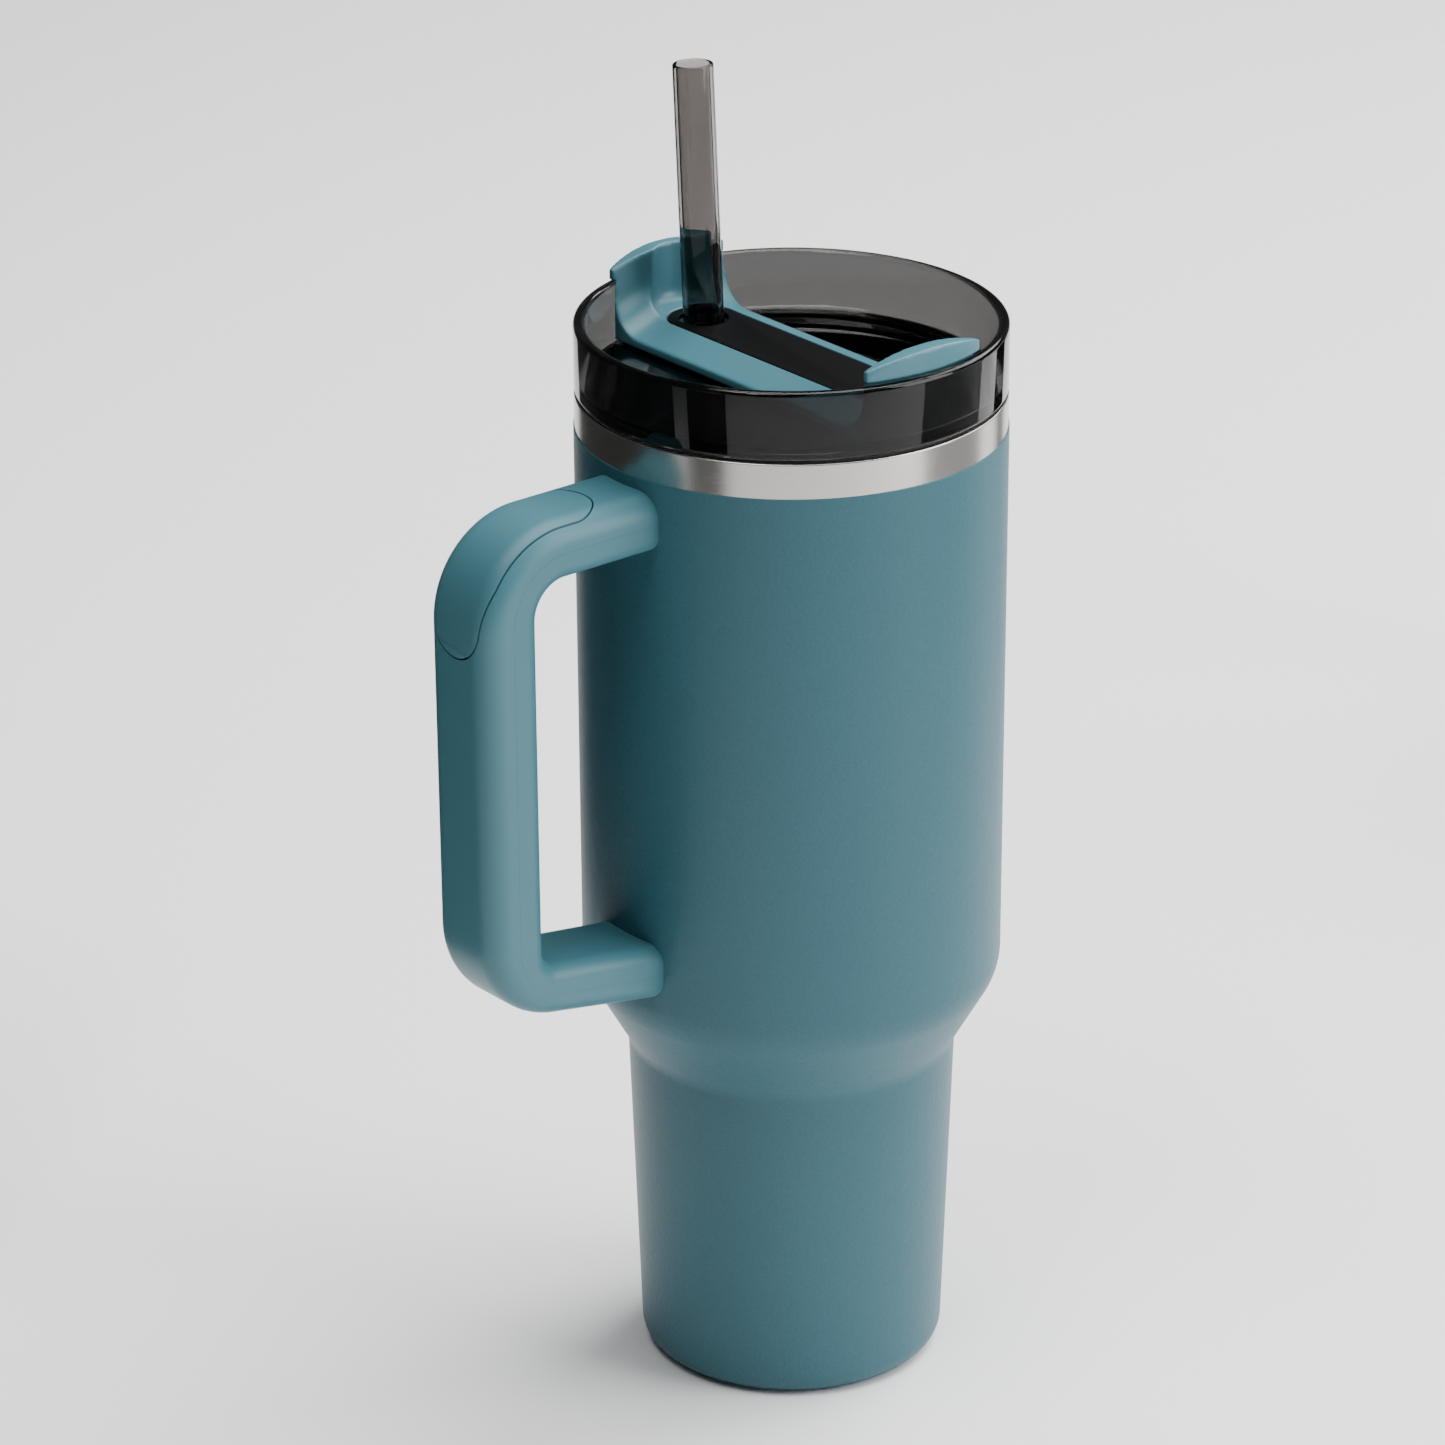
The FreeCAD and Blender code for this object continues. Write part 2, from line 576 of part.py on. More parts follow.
def handle_inner_shell():
    """Finger-side half of the handle: hollow, with bosses for the lower screws."""
    body = new_body("handle_inner_shell")
    gap = "-handle_split / 2"
    c_half(body, "inner_bar", middle_corners(gap), inner_corners("0"), inner_lines("0", gap),
           (MID_ROUND, MID_LOW_ROUND, "inner_round", "low_inner_round"), "handle_w")
    spots = [side_spot("(%s + %s) / 2" % (ROOT_X, GRIP_IN), "arm_top - arm_t",
                       sign + "handle_w / 2") for sign in ("", "-1 * ")]
    rounded(body, "inner_edges", spots, "handle_edge")
    cavity = c_outline(body, "inner_cavity_side", middle_corners("1"), inner_corners("handle_wall"),
                       *inner_lines("handle_wall", "1"))
    padded(body, "inner_cavity", cavity, "handle_w - 2 * handle_wall", both_ways=True, cut=True)
    tongue = "(tongue_t / 2 + handle_split / 2)"
    under = "arm_top - arm_t"
    for number, rho in enumerate(screw_places()):
        boss(body, "under_boss_%d" % number, rho, under + " + handle_wall / 2",
             "%s - %s" % (ARM_MID, tongue))
        bore(body, "under_clear_%d" % number, rho, under + " - 1", ARM_MID, "screw_r + screw_play")
        bore(body, "under_sink_%d" % number, rho, under + " - 1",
             under + " + screw_sink + screw_head_t", "screw_head_r + screw_play")
        top = low_line(rho, "low_arm_z + low_arm_t", "low_rise - low_fall")
        boss(body, "over_boss_%d" % number, rho,
             "%s + %s + boss_r * low_rise" % (low_middle(rho), tongue), top + " - handle_wall / 2")
        bore(body, "over_pilot_%d" % number, rho, low_middle(rho), top + " - handle_wall",
             "screw_r + screw_play / 3")
    seat_cut(body, "inner_seat")
    return body


def pad_region(label, grow):
    """The outline of the grip pad as a solid: seen from above, and from the handle's outer side."""
    plan = new_body(label + "_plan")
    half = "pad_half + (%s)" % grow
    start = "pad_start - (%s)" % grow
    far = "grip_out + 5"
    sketch = outline(sketch_on(plan, label + "_plan_outline", "XY_Plane", "pad_low - trim"), [
        ("-(%s)" % far, "0 - (%s)" % half), ("-(%s + %s)" % (start, half), "0 - (%s)" % half,
                                             half, 1),
        ("-(%s)" % start, "0", half, 1), ("-(%s + %s)" % (start, half), half),
        ("-(%s)" % far, half)])
    padded(plan, label + "_plan_pad", sketch, "pad_drop + 2 * trim")
    front = new_body(label + "_front")
    low_half = "pad_low_half + (%s)" % grow
    low = "pad_low - (%s)" % grow
    wide = "arm_top - pad_wide_drop"
    sketch = outline(sketch_on(front, label + "_front_outline", "YZ_Plane"), [
        ("0 - (%s)" % half, "arm_top + 5"), ("0 - (%s)" % half, wide),
        ("0 - (%s)" % low_half, "%s + %s" % (low, low_half), low_half, 1),
        ("0", low, low_half, 1), (low_half, "%s + %s" % (low, low_half)), (half, wide),
        (half, "arm_top + 5")])
    padded(front, label + "_front_pad", sketch, far, reverse=True)
    return boolean("Common", label, plan, front)


def grip_pieces():
    """The soft pad let into the handle's outer shoulder, and the outer shell with its seat."""
    core = outer_bar("pad_core", "pad_t", "handle_edge - pad_t")
    skin = outer_bar("pad_skin", "0", "handle_edge")
    layer = boolean("Cut", "pad_layer", skin, core)
    pad = boolean("Common", "grip_insert", layer, pad_region("pad_outline", "0"))
    seat_core = outer_bar("seat_core", "pad_t + pad_groove", "handle_edge - pad_t - pad_groove")
    seat_skin = outer_bar("seat_skin", "-1", "handle_edge + 1")
    seat_layer = boolean("Cut", "seat_layer", seat_skin, seat_core)
    seat = boolean("Common", "pad_seat", seat_layer, pad_region("seat_outline", "pad_groove"))
    shell = boolean("Cut", "handle_outer_shell", handle_outer_shell(), seat)
    return [shell, pad]


def bracket(label, middle_root, slope):
    """A steel saddle welded to the cup with a tongue that the handle halves clamp."""
    body = new_body(label)
    tall = "saddle_tall / 2"
    turned(body, label + "_saddle", [
        (COAT_R, "%s - %s" % (middle_root, tall)),
        (COAT_R + " + saddle_t", "%s - %s" % (middle_root, tall)),
        (COAT_R + " + saddle_t", "%s + %s" % (middle_root, tall)),
        (COAT_R, "%s + %s" % (middle_root, tall))])
    for side, sign in (("left", "-1"), ("right", "1")):
        sketch = sketch_on(body, "%s_%s_trim" % (label, side), "XY_Plane", middle_root + " - trim")
        near, far = sign + " * saddle_half", sign + " * (cup_r + trim)"
        outline(sketch, [("0 - cup_r - trim", near), ("cup_r + trim", near), ("cup_r + trim", far),
                         ("0 - cup_r - trim", far)])
        padded(body, "%s_%s_cut" % (label, side), sketch, "2 * trim", reverse=True, cut=True)
    sketch = sketch_on(body, label + "_back_trim", "XY_Plane", middle_root + " - trim")
    outline(sketch, [("0", "0 - saddle_half - 1"), ("cup_r + trim", "0 - saddle_half - 1"),
                     ("cup_r + trim", "saddle_half + 1"), ("0", "saddle_half + 1")])
    padded(body, label + "_back_cut", sketch, "2 * trim", reverse=True, cut=True)
    root, end = COAT_R + " + saddle_t / 2", "tongue_end"
    height = "(%s) + (%s) * ((%%s) - %s)" % (middle_root, slope, COAT_R)
    half = "tongue_t / 2"
    sketch = outline(sketch_on(body, label + "_tongue_side", "XZ_Plane"), [
        ("-(%s)" % root, "%s - %s" % (height % root, half)),
        ("-(%s)" % end, "%s - %s" % (height % end, half)),
        ("-(%s)" % end, "%s + %s" % (height % end, half)),
        ("-(%s)" % root, "%s + %s" % (height % root, half))])
    padded(body, label + "_tongue", sketch, "2 * tongue_half", both_ways=True)
    for number, rho in enumerate(screw_places()):
        bore(body, "%s_hole_%d" % (label, number), rho, (height % rho) + " - 5",
             (height % rho) + " + 5", "screw_r + screw_play")
    return body


def handle_screws():
    """Four pan-head screws, driven upwards through the handle's undersides."""
    screws = []
    for arm, thick, seat in (
            ("upper", "arm_t", lambda rho: "arm_top - arm_t + screw_sink"),
            ("lower", "low_arm_t", lambda rho: "%s + screw_sink" % low_bottom(rho))):
        for number, rho in enumerate(screw_places()):
            head = primitive("Cylinder", "%s_head_%d" % (arm, number), Radius="screw_head_r",
                             Height="screw_head_t")
            shift(head, x="-(%s)" % rho, z=seat(rho))
            shank = primitive("Cylinder", "%s_shank_%d" % (arm, number), Radius="screw_r",
                              Height=thick + " - 2 * handle_wall - screw_sink")
            shift(shank, x="-(%s)" % rho, z=seat(rho) + " + screw_head_t / 2")
            screws.append(joined("%s_screw_%d" % (arm, number), [head, shank]))
    group = doc.addObject("Part::Compound", "handle_screws")
    group.Label = "handle_screws"
    group.Links = screws
    doc.recompute()
    return group


# ---------------------------------------------------------------- lid

def slot_place(radius, angle, ahead="0"):
    """A point at a radius and angle, and a distance ahead of it along the turn."""
    return ("(%s) * cos(%s) - (%s) * sin(%s)" % (radius, angle, ahead, angle),
            "(%s) * sin(%s) + (%s) * cos(%s)" % (radius, angle, ahead, angle))


def arc_slot(label, half, low, tall, middle="90"):
    """A bent bar with round ends on the drink opening's path, about an angle from +X."""
    body = new_body(label)
    first, last = "(%s - slot_swing)" % middle, "(%s + slot_swing)" % middle
    far, near = "(port_path_r + %s)" % half, "(port_path_r - (%s))" % half
    sketch = outline(sketch_on(body, label + "_outline", "XY_Plane", low), [
        slot_place(far, first) + (far, 1),
        slot_place(far, last) + (half, 1),
        slot_place("port_path_r", last, half) + (half, 1),
        slot_place(near, last) + (near, -1),
        slot_place(near, first) + (half, 1),
        slot_place("port_path_r", first, "0 - (%s)" % half) + (half, 1)])
    padded(body, label + "_bar", sketch, tall)
    return body


def lid_gasket():
    """Soft ring around the top of the lid's skirt, closed against the cup's mouth."""
    body = new_body("lid_gasket")
    low = "%s - gasket_play - gasket_t" % FLANGE_Z
    high = "%s - gasket_play" % FLANGE_Z
    turned(body, "gasket", [
        ("skirt_r + gasket_play", low), (NECK_R + " + gasket_step", low),
        (MOUTH_R + " - gasket_mouth_play", low + " + gasket_step"),
        (MOUTH_R + " - gasket_mouth_play", high), ("skirt_r + gasket_play", high)])
    return body


def lid_body():
    """Clear ring, deck and threaded skirt, moulded in one."""
    body = new_body("lid_moulding")
    skirt_low = "%s - skirt_deep" % FLANGE_Z
    bead = "%s - gasket_play * 2 - gasket_t" % FLANGE_Z
    turned(body, "lid_wall", [
        ("skirt_r - skirt_t", skirt_low), ("skirt_r", skirt_low), ("skirt_r", bead + " - 1.4"),
        ("skirt_r + gasket_bead", bead + " - 1"), ("skirt_r + gasket_bead", bead),
        ("skirt_r", bead), ("skirt_r", FLANGE_Z), ("ring_r", FLANGE_Z), ("ring_r", RING_TOP),
        ("ring_r - ring_t", RING_TOP), ("ring_r - ring_t", DECK_Z),
        ("pivot_r + pivot_play", DECK_Z), ("pivot_r + pivot_play", FLANGE_Z),
        ("skirt_r - skirt_t", FLANGE_Z)])
    for name, radius, height in (("rim_outside", "ring_r", RING_TOP),
                                 ("rim_inside", "ring_r - ring_t", RING_TOP),
                                 ("ring_foot", "ring_r", FLANGE_Z)):
        tube_round(body, name, radius, height, "ring_round")
    start = LID_THREAD_Z
    tip_lift = "(thread_root - thread_tip) / 2"
    helix_ridge(body, "skirt_thread", [
        ("skirt_r - skirt_t / 2", start), ("skirt_r", start),
        ("skirt_r + lid_thread_rise", "%s + %s" % (start, tip_lift)),
        ("skirt_r + lid_thread_rise", "%s + %s + thread_tip" % (start, tip_lift)),
        ("skirt_r", start + " + thread_root"), ("skirt_r - skirt_t / 2", start + " + thread_root")])
    slot = arc_slot("drink_slot", "slot_half", FLANGE_Z + " - 1", "deck_t + 2")
    return boolean("Cut", "lid_body", body, slot)


# ---------------------------------------------------------------- rotating cover

def tab_outline(body, name, sign):
    """Side view of one thumb tab, rising from the plate with a hollow curve."""
    face, lip = "tab_face", "%s + tab_out" % COVER_R
    top = LIP_Z + " + lip_rise"
    root = "%s - tab_round" % face
    corners = [(root, COVER_LOW), (lip, COVER_LOW), (lip, top), (face + " + tab_lean", top),
               (face, COVER_TOP + " + tab_round", "tab_round", -1 if sign == "" else 1),
               (root, COVER_TOP)]
    sketch = sketch_on(body, name, "YZ_Plane")
    return outline(sketch, [("%s(%s)" % (sign, item[0]),) + tuple(item[1:]) for item in corners])


def rotating_cover():
    """Plate that turns on the lid's deck, with a thumb tab at each end hooked over the ring."""
    body = new_body("cover_moulding")
    section = outline(sketch_on(body, "plate_section", "XZ_Plane"), [
        ("0 - cover_half", COVER_LOW), ("cover_half", COVER_LOW),
        ("cover_half", COVER_LOW + " + edge_t"), ("strip_half", COVER_TOP),
        ("0 - strip_half", COVER_TOP), ("0 - cover_half", COVER_LOW + " + edge_t")])
    padded(body, "plate", section, "2 * (%s + tab_out)" % COVER_R, both_ways=True)
    for name, sign in (("straw", ""), ("far", "-")):
        padded(body, name + "_tab", tab_outline(body, name + "_tab_side", sign), "2 * cover_half",
               both_ways=True)
    turned(body, "ring_clearance", [
        (COVER_R, "rim_z"), ("ring_r + 10", "rim_z"), ("ring_r + 10", LIP_Z + " + lip_rise + 5"),
        (COVER_R + " + tab_out", LIP_Z + " + lip_rise + 5"), (COVER_R + " + tab_out", LIP_Z),
        (COVER_R, LIP_Z)], cut=True)
    top = LIP_Z + " + lip_rise"
    arch = "(cover_half ^ 2 + lip_drop ^ 2) / (2 * lip_drop)"
    sketch = outline(sketch_on(body, "arch_side", "XZ_Plane"), [
        ("0 - cover_half", top + " - lip_drop", arch, -1), ("0", top, arch, -1),
        ("cover_half", top + " - lip_drop"), ("cover_half + 5", top + " - lip_drop"),
        ("cover_half + 5", top + " + 5"), ("0 - cover_half - 5", top + " + 5"),
        ("0 - cover_half - 5", top + " - lip_drop")])
    padded(body, "arch", sketch, "3 * ring_r", both_ways=True, cut=True)
    scoop = circle(sketch_on(body, "scoop_circle", "XY_Plane", COVER_TOP), "0",
                   "port_path_r + scoop_shift", "scoop_r")
    padded(body, "scoop", scoop, "lip_rise + ring_wide", reverse=True, cut=True)
    insert_seat(body)
    hole = circle(sketch_on(body, "straw_hole_circle", "XY_Plane", COVER_LOW + " - 1"), "0",
                  "port_path_r", "straw_hole_r")
    padded(body, "straw_hole", hole, "cover_t + 10", reverse=True, cut=True)
    turned(body, "pivot", [
        ("0", COVER_LOW + " + 1"), ("pivot_r", COVER_LOW + " + 1"),
        ("pivot_r", "%s - pivot_end_play" % FLANGE_Z), ("0", "%s - pivot_end_play" % FLANGE_Z)])
    turned(body, "pivot_bore", [
        ("0", "rim_z - 5"), ("pivot_screw_r + pivot_screw_fit", "rim_z - 5"),
        ("pivot_screw_r + pivot_screw_fit", "%s - pivot_end_play + pivot_screw_deep" % FLANGE_Z),
        ("0", "%s - pivot_end_play + pivot_screw_deep" % FLANGE_Z)], cut=True)
    turned(body, "hub_seal_seat", [
        ("pivot_r", COVER_LOW + " - 1"), ("pivot_r + hub_seal_w", COVER_LOW + " - 1"),
        ("pivot_r + hub_seal_w", COVER_LOW + " + seal_t"),
        ("pivot_r", COVER_LOW + " + seal_t")], cut=True)
    straw_side = arc_slot("straw_seal_seat", "slot_half + seal_lap", COVER_LOW + " - 1",
                          "seal_t + 1")
    far_side = arc_slot("closing_pad_seat", "slot_half + seal_lap", COVER_LOW + " - 1",
                        "seal_t + 1", "270")
    seats = joined("seal_seats", [straw_side, far_side])
    return boolean("Cut", "rotating_cover", body, seats)


def strip_outline(body, name, height, half):
    """Outline of the dark strip: round about the straw hole, square at the far end."""
    return outline(sketch_on(body, name, "XY_Plane", height), [
        ("0 - (%s)" % half, "tab_round - tab_face"), (half, "tab_round - tab_face"),
        (half, "port_path_r", half, 1), ("0", "port_path_r + (%s)" % half, half, 1),
        ("0 - (%s)" % half, "port_path_r")])


def insert_seat(body):
    """Recess for the dark strip."""
    sketch = strip_outline(body, "strip_seat_outline", COVER_TOP + " - insert_t", "strip_half")
    padded(body, "strip_seat", sketch, "insert_t", reverse=True, cut=True)


def cover_insert():
    """Dark strip let into the top of the cover, with no mark on it."""
    body = new_body("cover_insert")
    sketch = strip_outline(body, "strip_outline", COVER_TOP + " - insert_t",
                           "strip_half - insert_play")
    padded(body, "strip", sketch, "insert_t")
    hole = circle(sketch_on(body, "strip_hole_circle", "XY_Plane", COVER_TOP + " - insert_t - 1"),
                  "0", "port_path_r", "straw_hole_r")
    padded(body, "strip_hole", hole, "insert_t + 2", reverse=True, cut=True)
    return body


def straw_axis():
    """Foot and direction of the straw's axis."""
    lean = math.radians(value("straw_lean"))
    along = FreeCAD.Vector(0, math.sin(lean), math.cos(lean))
    deck = FreeCAD.Vector(0, value("port_path_r"), value(COVER_TOP))
    foot = deck - along * ((value(COVER_TOP) - value("straw_low")) / along.z)
    return foot, along


def leaning(thing):
    """Stands a piece made along +Z from the origin on the straw's axis."""
    foot, along = straw_axis()
    thing.Placement = FreeCAD.Placement(foot, FreeCAD.Rotation(FreeCAD.Vector(0, 0, 1), along))
    return thing


def seals():
    """Soft pads under the cover: one round the straw, one plain, and one round the pivot."""
    low, tall = DECK_Z + " + seal_gap", "seal_t + cover_gap - seal_gap"
    blank = arc_slot("straw_seal_blank", "slot_half + seal_lap - insert_play", low, tall)
    drill = primitive("Cylinder", "straw_seal_drill", Radius="straw_r + straw_fit",
                      Height="straw_top - straw_low")
    straw_seal = boolean("Cut", "straw_seal", blank, leaning(drill))
    pad = arc_slot("closing_pad", "slot_half + seal_lap - insert_play", low, tall, "270")
    hub = new_body("hub_seal")
    turned(hub, "hub_ring", [
        ("pivot_r + insert_play", low), ("pivot_r + hub_seal_w - insert_play", low),
        ("pivot_r + hub_seal_w - insert_play", "%s + %s" % (low, tall)),
        ("pivot_r + insert_play", "%s + %s" % (low, tall))])
    return [straw_seal, pad, hub]


def pivot_pieces():
    """Washer and screw that hold the cover's pivot under the deck."""
    top = "%s - pivot_end_play" % FLANGE_Z
    washer = new_body("retaining_washer")
    turned(washer, "washer", [
        ("pivot_screw_r + washer_play", top + " - washer_t"), ("washer_r", top + " - washer_t"),
        ("washer_r", top), ("pivot_screw_r + washer_play", top)])
    screw = new_body("pivot_screw")
    head = top + " - washer_t"
    turned(screw, "screw", [
        ("0", head + " - pivot_screw_head_t"),
        ("pivot_screw_head_r", head + " - pivot_screw_head_t"), ("pivot_screw_head_r", head),
        ("pivot_screw_r", head), ("pivot_screw_r", top + " + pivot_screw_deep - pivot_screw_gap"),
        ("0", top + " + pivot_screw_deep - pivot_screw_gap")])
    slot = outline(sketch_on(screw, "screw_slot", "XY_Plane", head + " - pivot_screw_head_t"), [
        ("0 - drive_half", "0 - drive_wide"), ("drive_half", "0 - drive_wide"),
        ("drive_half", "drive_wide"), ("0 - drive_half", "drive_wide")])
    padded(screw, "screw_slot_cut", slot, "drive_deep", reverse=True, cut=True)
    return [washer, screw]


def straw():
    """Thin-walled straight straw."""
    body = new_body("straw")
    sketch = sketch_on(body, "straw_rings", "XY_Plane")
    circle(sketch, "0", "0", "straw_r")
    circle(sketch, "0", "0", "straw_r - straw_t")
    padded(body, "straw_tube", sketch, "(straw_top - straw_low) / cos(straw_lean)")
    return leaning(body)


# ---------------------------------------------------------------- build, check and write

def check_document():
    """Stops if any object of the document failed."""
    for item in doc.Objects:
        if "Invalid" in item.State or "Error" in item.State:
            raise ValueError("%s failed: %s" % (item.Name, item.State))


def write(piece):
    """Checks one sub-part and writes it to its own file."""
    shape = piece.Shape
    if shape.isNull() or not shape.isValid():
        raise ValueError(piece.Label + " has no valid shape")
    shape.exportStep("parts/%s.step" % piece.Label)
    print("%-20s solids %d volume %10.1f" % (piece.Label, len(shape.Solids), shape.Volume))


def main():
    """Builds every sub-part and writes one file for each."""
    pieces = [outer_shell(), powder_coat(), inner_liner(), *base_pieces(), *grip_pieces(),
              handle_inner_shell(),
              bracket("upper_bracket", ARM_MID, "0"),
              bracket("lower_bracket", "low_arm_z + low_arm_t / 2", "low_rise - low_fall / 2"),
              handle_screws(), lid_gasket(), lid_body(), rotating_cover(), cover_insert(),
              *seals(), *pivot_pieces(), straw()]
    doc.recompute()
    check_document()
    os.makedirs("parts", exist_ok=True)
    for piece in pieces:
        write(piece)


main()
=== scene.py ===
"""Looks of a handled, double-walled tumbler with a screw lid, a turning cover and a straw.

Everything is in metres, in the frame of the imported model: the cup's axis is Z, the
handle reaches along -X and the straw end of the cover points along +Y.
"""

import json
import logging
import math
from dataclasses import dataclass, field
from enum import Enum
from typing import Callable, Iterable, Optional, Union

import bpy
import bmesh
from mathutils import Euler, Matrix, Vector

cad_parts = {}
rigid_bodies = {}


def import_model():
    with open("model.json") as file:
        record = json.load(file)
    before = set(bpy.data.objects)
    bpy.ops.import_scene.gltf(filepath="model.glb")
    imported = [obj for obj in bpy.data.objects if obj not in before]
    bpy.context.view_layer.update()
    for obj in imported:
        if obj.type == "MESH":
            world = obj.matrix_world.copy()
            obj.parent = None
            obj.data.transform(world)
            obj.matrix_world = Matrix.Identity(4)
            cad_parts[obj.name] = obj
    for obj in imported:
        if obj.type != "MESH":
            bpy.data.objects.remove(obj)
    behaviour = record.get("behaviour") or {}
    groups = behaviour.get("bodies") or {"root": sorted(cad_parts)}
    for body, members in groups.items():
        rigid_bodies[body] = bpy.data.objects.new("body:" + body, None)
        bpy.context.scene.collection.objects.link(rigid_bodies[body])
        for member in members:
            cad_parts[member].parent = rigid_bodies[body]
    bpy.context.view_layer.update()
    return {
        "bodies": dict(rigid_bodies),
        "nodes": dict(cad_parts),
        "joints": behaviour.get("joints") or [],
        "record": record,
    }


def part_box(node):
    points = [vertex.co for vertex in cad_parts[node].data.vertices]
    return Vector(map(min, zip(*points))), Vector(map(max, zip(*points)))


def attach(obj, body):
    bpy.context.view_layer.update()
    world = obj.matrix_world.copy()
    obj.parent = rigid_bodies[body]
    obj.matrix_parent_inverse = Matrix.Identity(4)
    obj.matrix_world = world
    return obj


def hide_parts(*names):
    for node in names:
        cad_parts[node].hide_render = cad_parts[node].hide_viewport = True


LOG = logging.getLogger("tumbler")
AXIS = (0.0, 0.0, 1.0)
Colour = tuple[float, float, float]
Corner = tuple[float, float, float]


# ------------------------------------------------------------------ shader building


class Wire:
    """A shader value that can be used in sums: each operator adds one Math node."""

    def __init__(self, shader: "Shader", socket: bpy.types.NodeSocket) -> None:
        """Wraps a socket of a shader."""
        self.shader = shader
        self.socket = socket

    def _with(self, operation: str, first: "Number", second: "Number") -> "Wire":
        """Adds a Math node and returns its output."""
        node = self.shader.node("ShaderNodeMath", {"operation": operation}, {0: first, 1: second})
        return Wire(self.shader, node.outputs[0])

    def __add__(self, other: "Number") -> "Wire":
        """Sum."""
        return self._with("ADD", self, other)

    __radd__ = __add__

    def __sub__(self, other: "Number") -> "Wire":
        """Difference."""
        return self._with("SUBTRACT", self, other)

    def __rsub__(self, other: "Number") -> "Wire":
        """Difference, reflected."""
        return self._with("SUBTRACT", other, self)

    def __mul__(self, other: "Number") -> "Wire":
        """Product."""
        return self._with("MULTIPLY", self, other)

    __rmul__ = __mul__

    def __truediv__(self, other: "Number") -> "Wire":
        """Quotient."""
        return self._with("DIVIDE", self, other)

    def angle_to(self, other: "Wire") -> "Wire":
        """Angle of the point (other, self) about the origin."""
        return self._with("ARCTAN2", self, other)


Number = Union[Wire, float, int]
Value = Union[Wire, float, int, tuple, str]


class Shader:
    """One node material, built through a single node-making method."""

    def __init__(self, name: str) -> None:
        """Makes an empty node material with a principled surface."""
        self.material = bpy.data.materials.new(name)
        self.material.use_nodes = True
        self.tree = self.material.node_tree
        self.tree.nodes.clear()
        self.surface = self.node("ShaderNodeBsdfPrincipled")
        output = self.node("ShaderNodeOutputMaterial")
        self.tree.links.new(self.surface.outputs[0], output.inputs["Surface"])

    def node(self, kind: str, settings: Optional[dict] = None,
             inputs: Optional[dict] = None) -> bpy.types.Node:
        """Adds one node.

        Args:
            kind: the node's type.
            settings: its own properties, set first; "stops" fills a colour ramp.
            inputs: values or wires for its sockets, by name or number.

        Returns:
            The new node.
        """
        node = self.tree.nodes.new(kind)
        for name, setting in (settings or {}).items():
            if name == "stops":
                self._fill_ramp(node, setting)
            else:
                setattr(node, name, setting)
        for name, value in (inputs or {}).items():
            self.put(node.inputs[name], value)
        return node

    def _fill_ramp(self, node: bpy.types.Node, stops: list[tuple[float, Colour]]) -> None:
        """Sets a ramp's stops, each a place and a colour."""
        elements = node.color_ramp.elements
        while len(elements) < len(stops):
            elements.new(0.5)
        for element, (place, colour) in zip(elements, stops):
            element.position = place
            element.color = (*colour, 1.0)

    def put(self, socket: bpy.types.NodeSocket, value: Value) -> None:
        """Links a wire to a socket, or sets the socket's own value."""
        if isinstance(value, Wire):
            self.tree.links.new(value.socket, socket)
        elif isinstance(value, tuple) and len(value) == 3 and socket.type == "RGBA":
            socket.default_value = (*value, 1.0)
        else:
            socket.default_value = value

    def wire(self, node: bpy.types.Node, output: Union[str, int] = 0) -> Wire:
        """One output of a node."""
        return Wire(self, node.outputs[output])

    def place(self) -> Wire:
        """Object coordinates."""
        return self.wire(self.node("ShaderNodeTexCoord"), "Object")

    def axes(self) -> tuple[Wire, Wire, Wire]:
        """The three object coordinates as numbers."""
        split = self.node("ShaderNodeSeparateXYZ", None, {0: self.place()})
        return self.wire(split, "X"), self.wire(split, "Y"), self.wire(split, "Z")

    def vector(self, across: Number, along: Number, up: Number) -> Wire:
        """A vector from three numbers."""
        return self.wire(self.node("ShaderNodeCombineXYZ", None, {0: across, 1: along, 2: up}))

    def noise(self, vector: Wire, scale: float, detail: float = 2.0,
              roughness: float = 0.5) -> Wire:
        """A noise pattern from 0 to 1.

        Args:
            vector: where it is read.
            scale: how many features there are in a metre.
            detail: how many finer layers it has.
            roughness: how strong those layers are.

        Returns:
            The pattern.
        """
        return self.wire(self.node("ShaderNodeTexNoise", None, {
            "Vector": vector, "Scale": scale, "Detail": detail, "Roughness": roughness}))

    def blend(self, factor: Number, first: Union[Wire, Colour],
              second: Union[Wire, Colour]) -> Wire:
        """A mix of two colours."""
        node = self.node("ShaderNodeMix", {"data_type": "RGBA"}, {0: factor, 6: first, 7: second})
        return self.wire(node, 2)

    def ramp(self, factor: Wire, stops: list[tuple[float, Colour]]) -> Wire:
        """A colour ramp."""
        return self.wire(self.node("ShaderNodeValToRGB", {"stops": stops}, {0: factor}))

    def bump(self, height: Wire, distance: float, strength: float = 1.0,
             under: Optional[Wire] = None) -> Wire:
        """A normal from a height pattern.

        Args:
            height: the pattern.
            distance: how high it is, in metres.
            strength: how much of it shows.
            under: another bump that this one lies on.

        Returns:
            The normal.
        """
        inputs: dict = {"Height": height, "Distance": distance, "Strength": strength}
        if under is not None:
            inputs["Normal"] = under
        return self.wire(self.node("ShaderNodeBump", None, inputs))

    def finish(self, **sockets: Value) -> bpy.types.Material:
        """Sets the surface's sockets, named with underscores, and returns the material."""
        for name, value in sockets.items():
            self.put(self.surface.inputs[name.replace("_", " ")], value)
        return self.material


# ------------------------------------------------------------------ finishes


def shade(colour: Colour, factor: float) -> Colour:
    """A colour made darker or lighter."""
    return tuple(min(part * factor, 1.0) for part in colour)


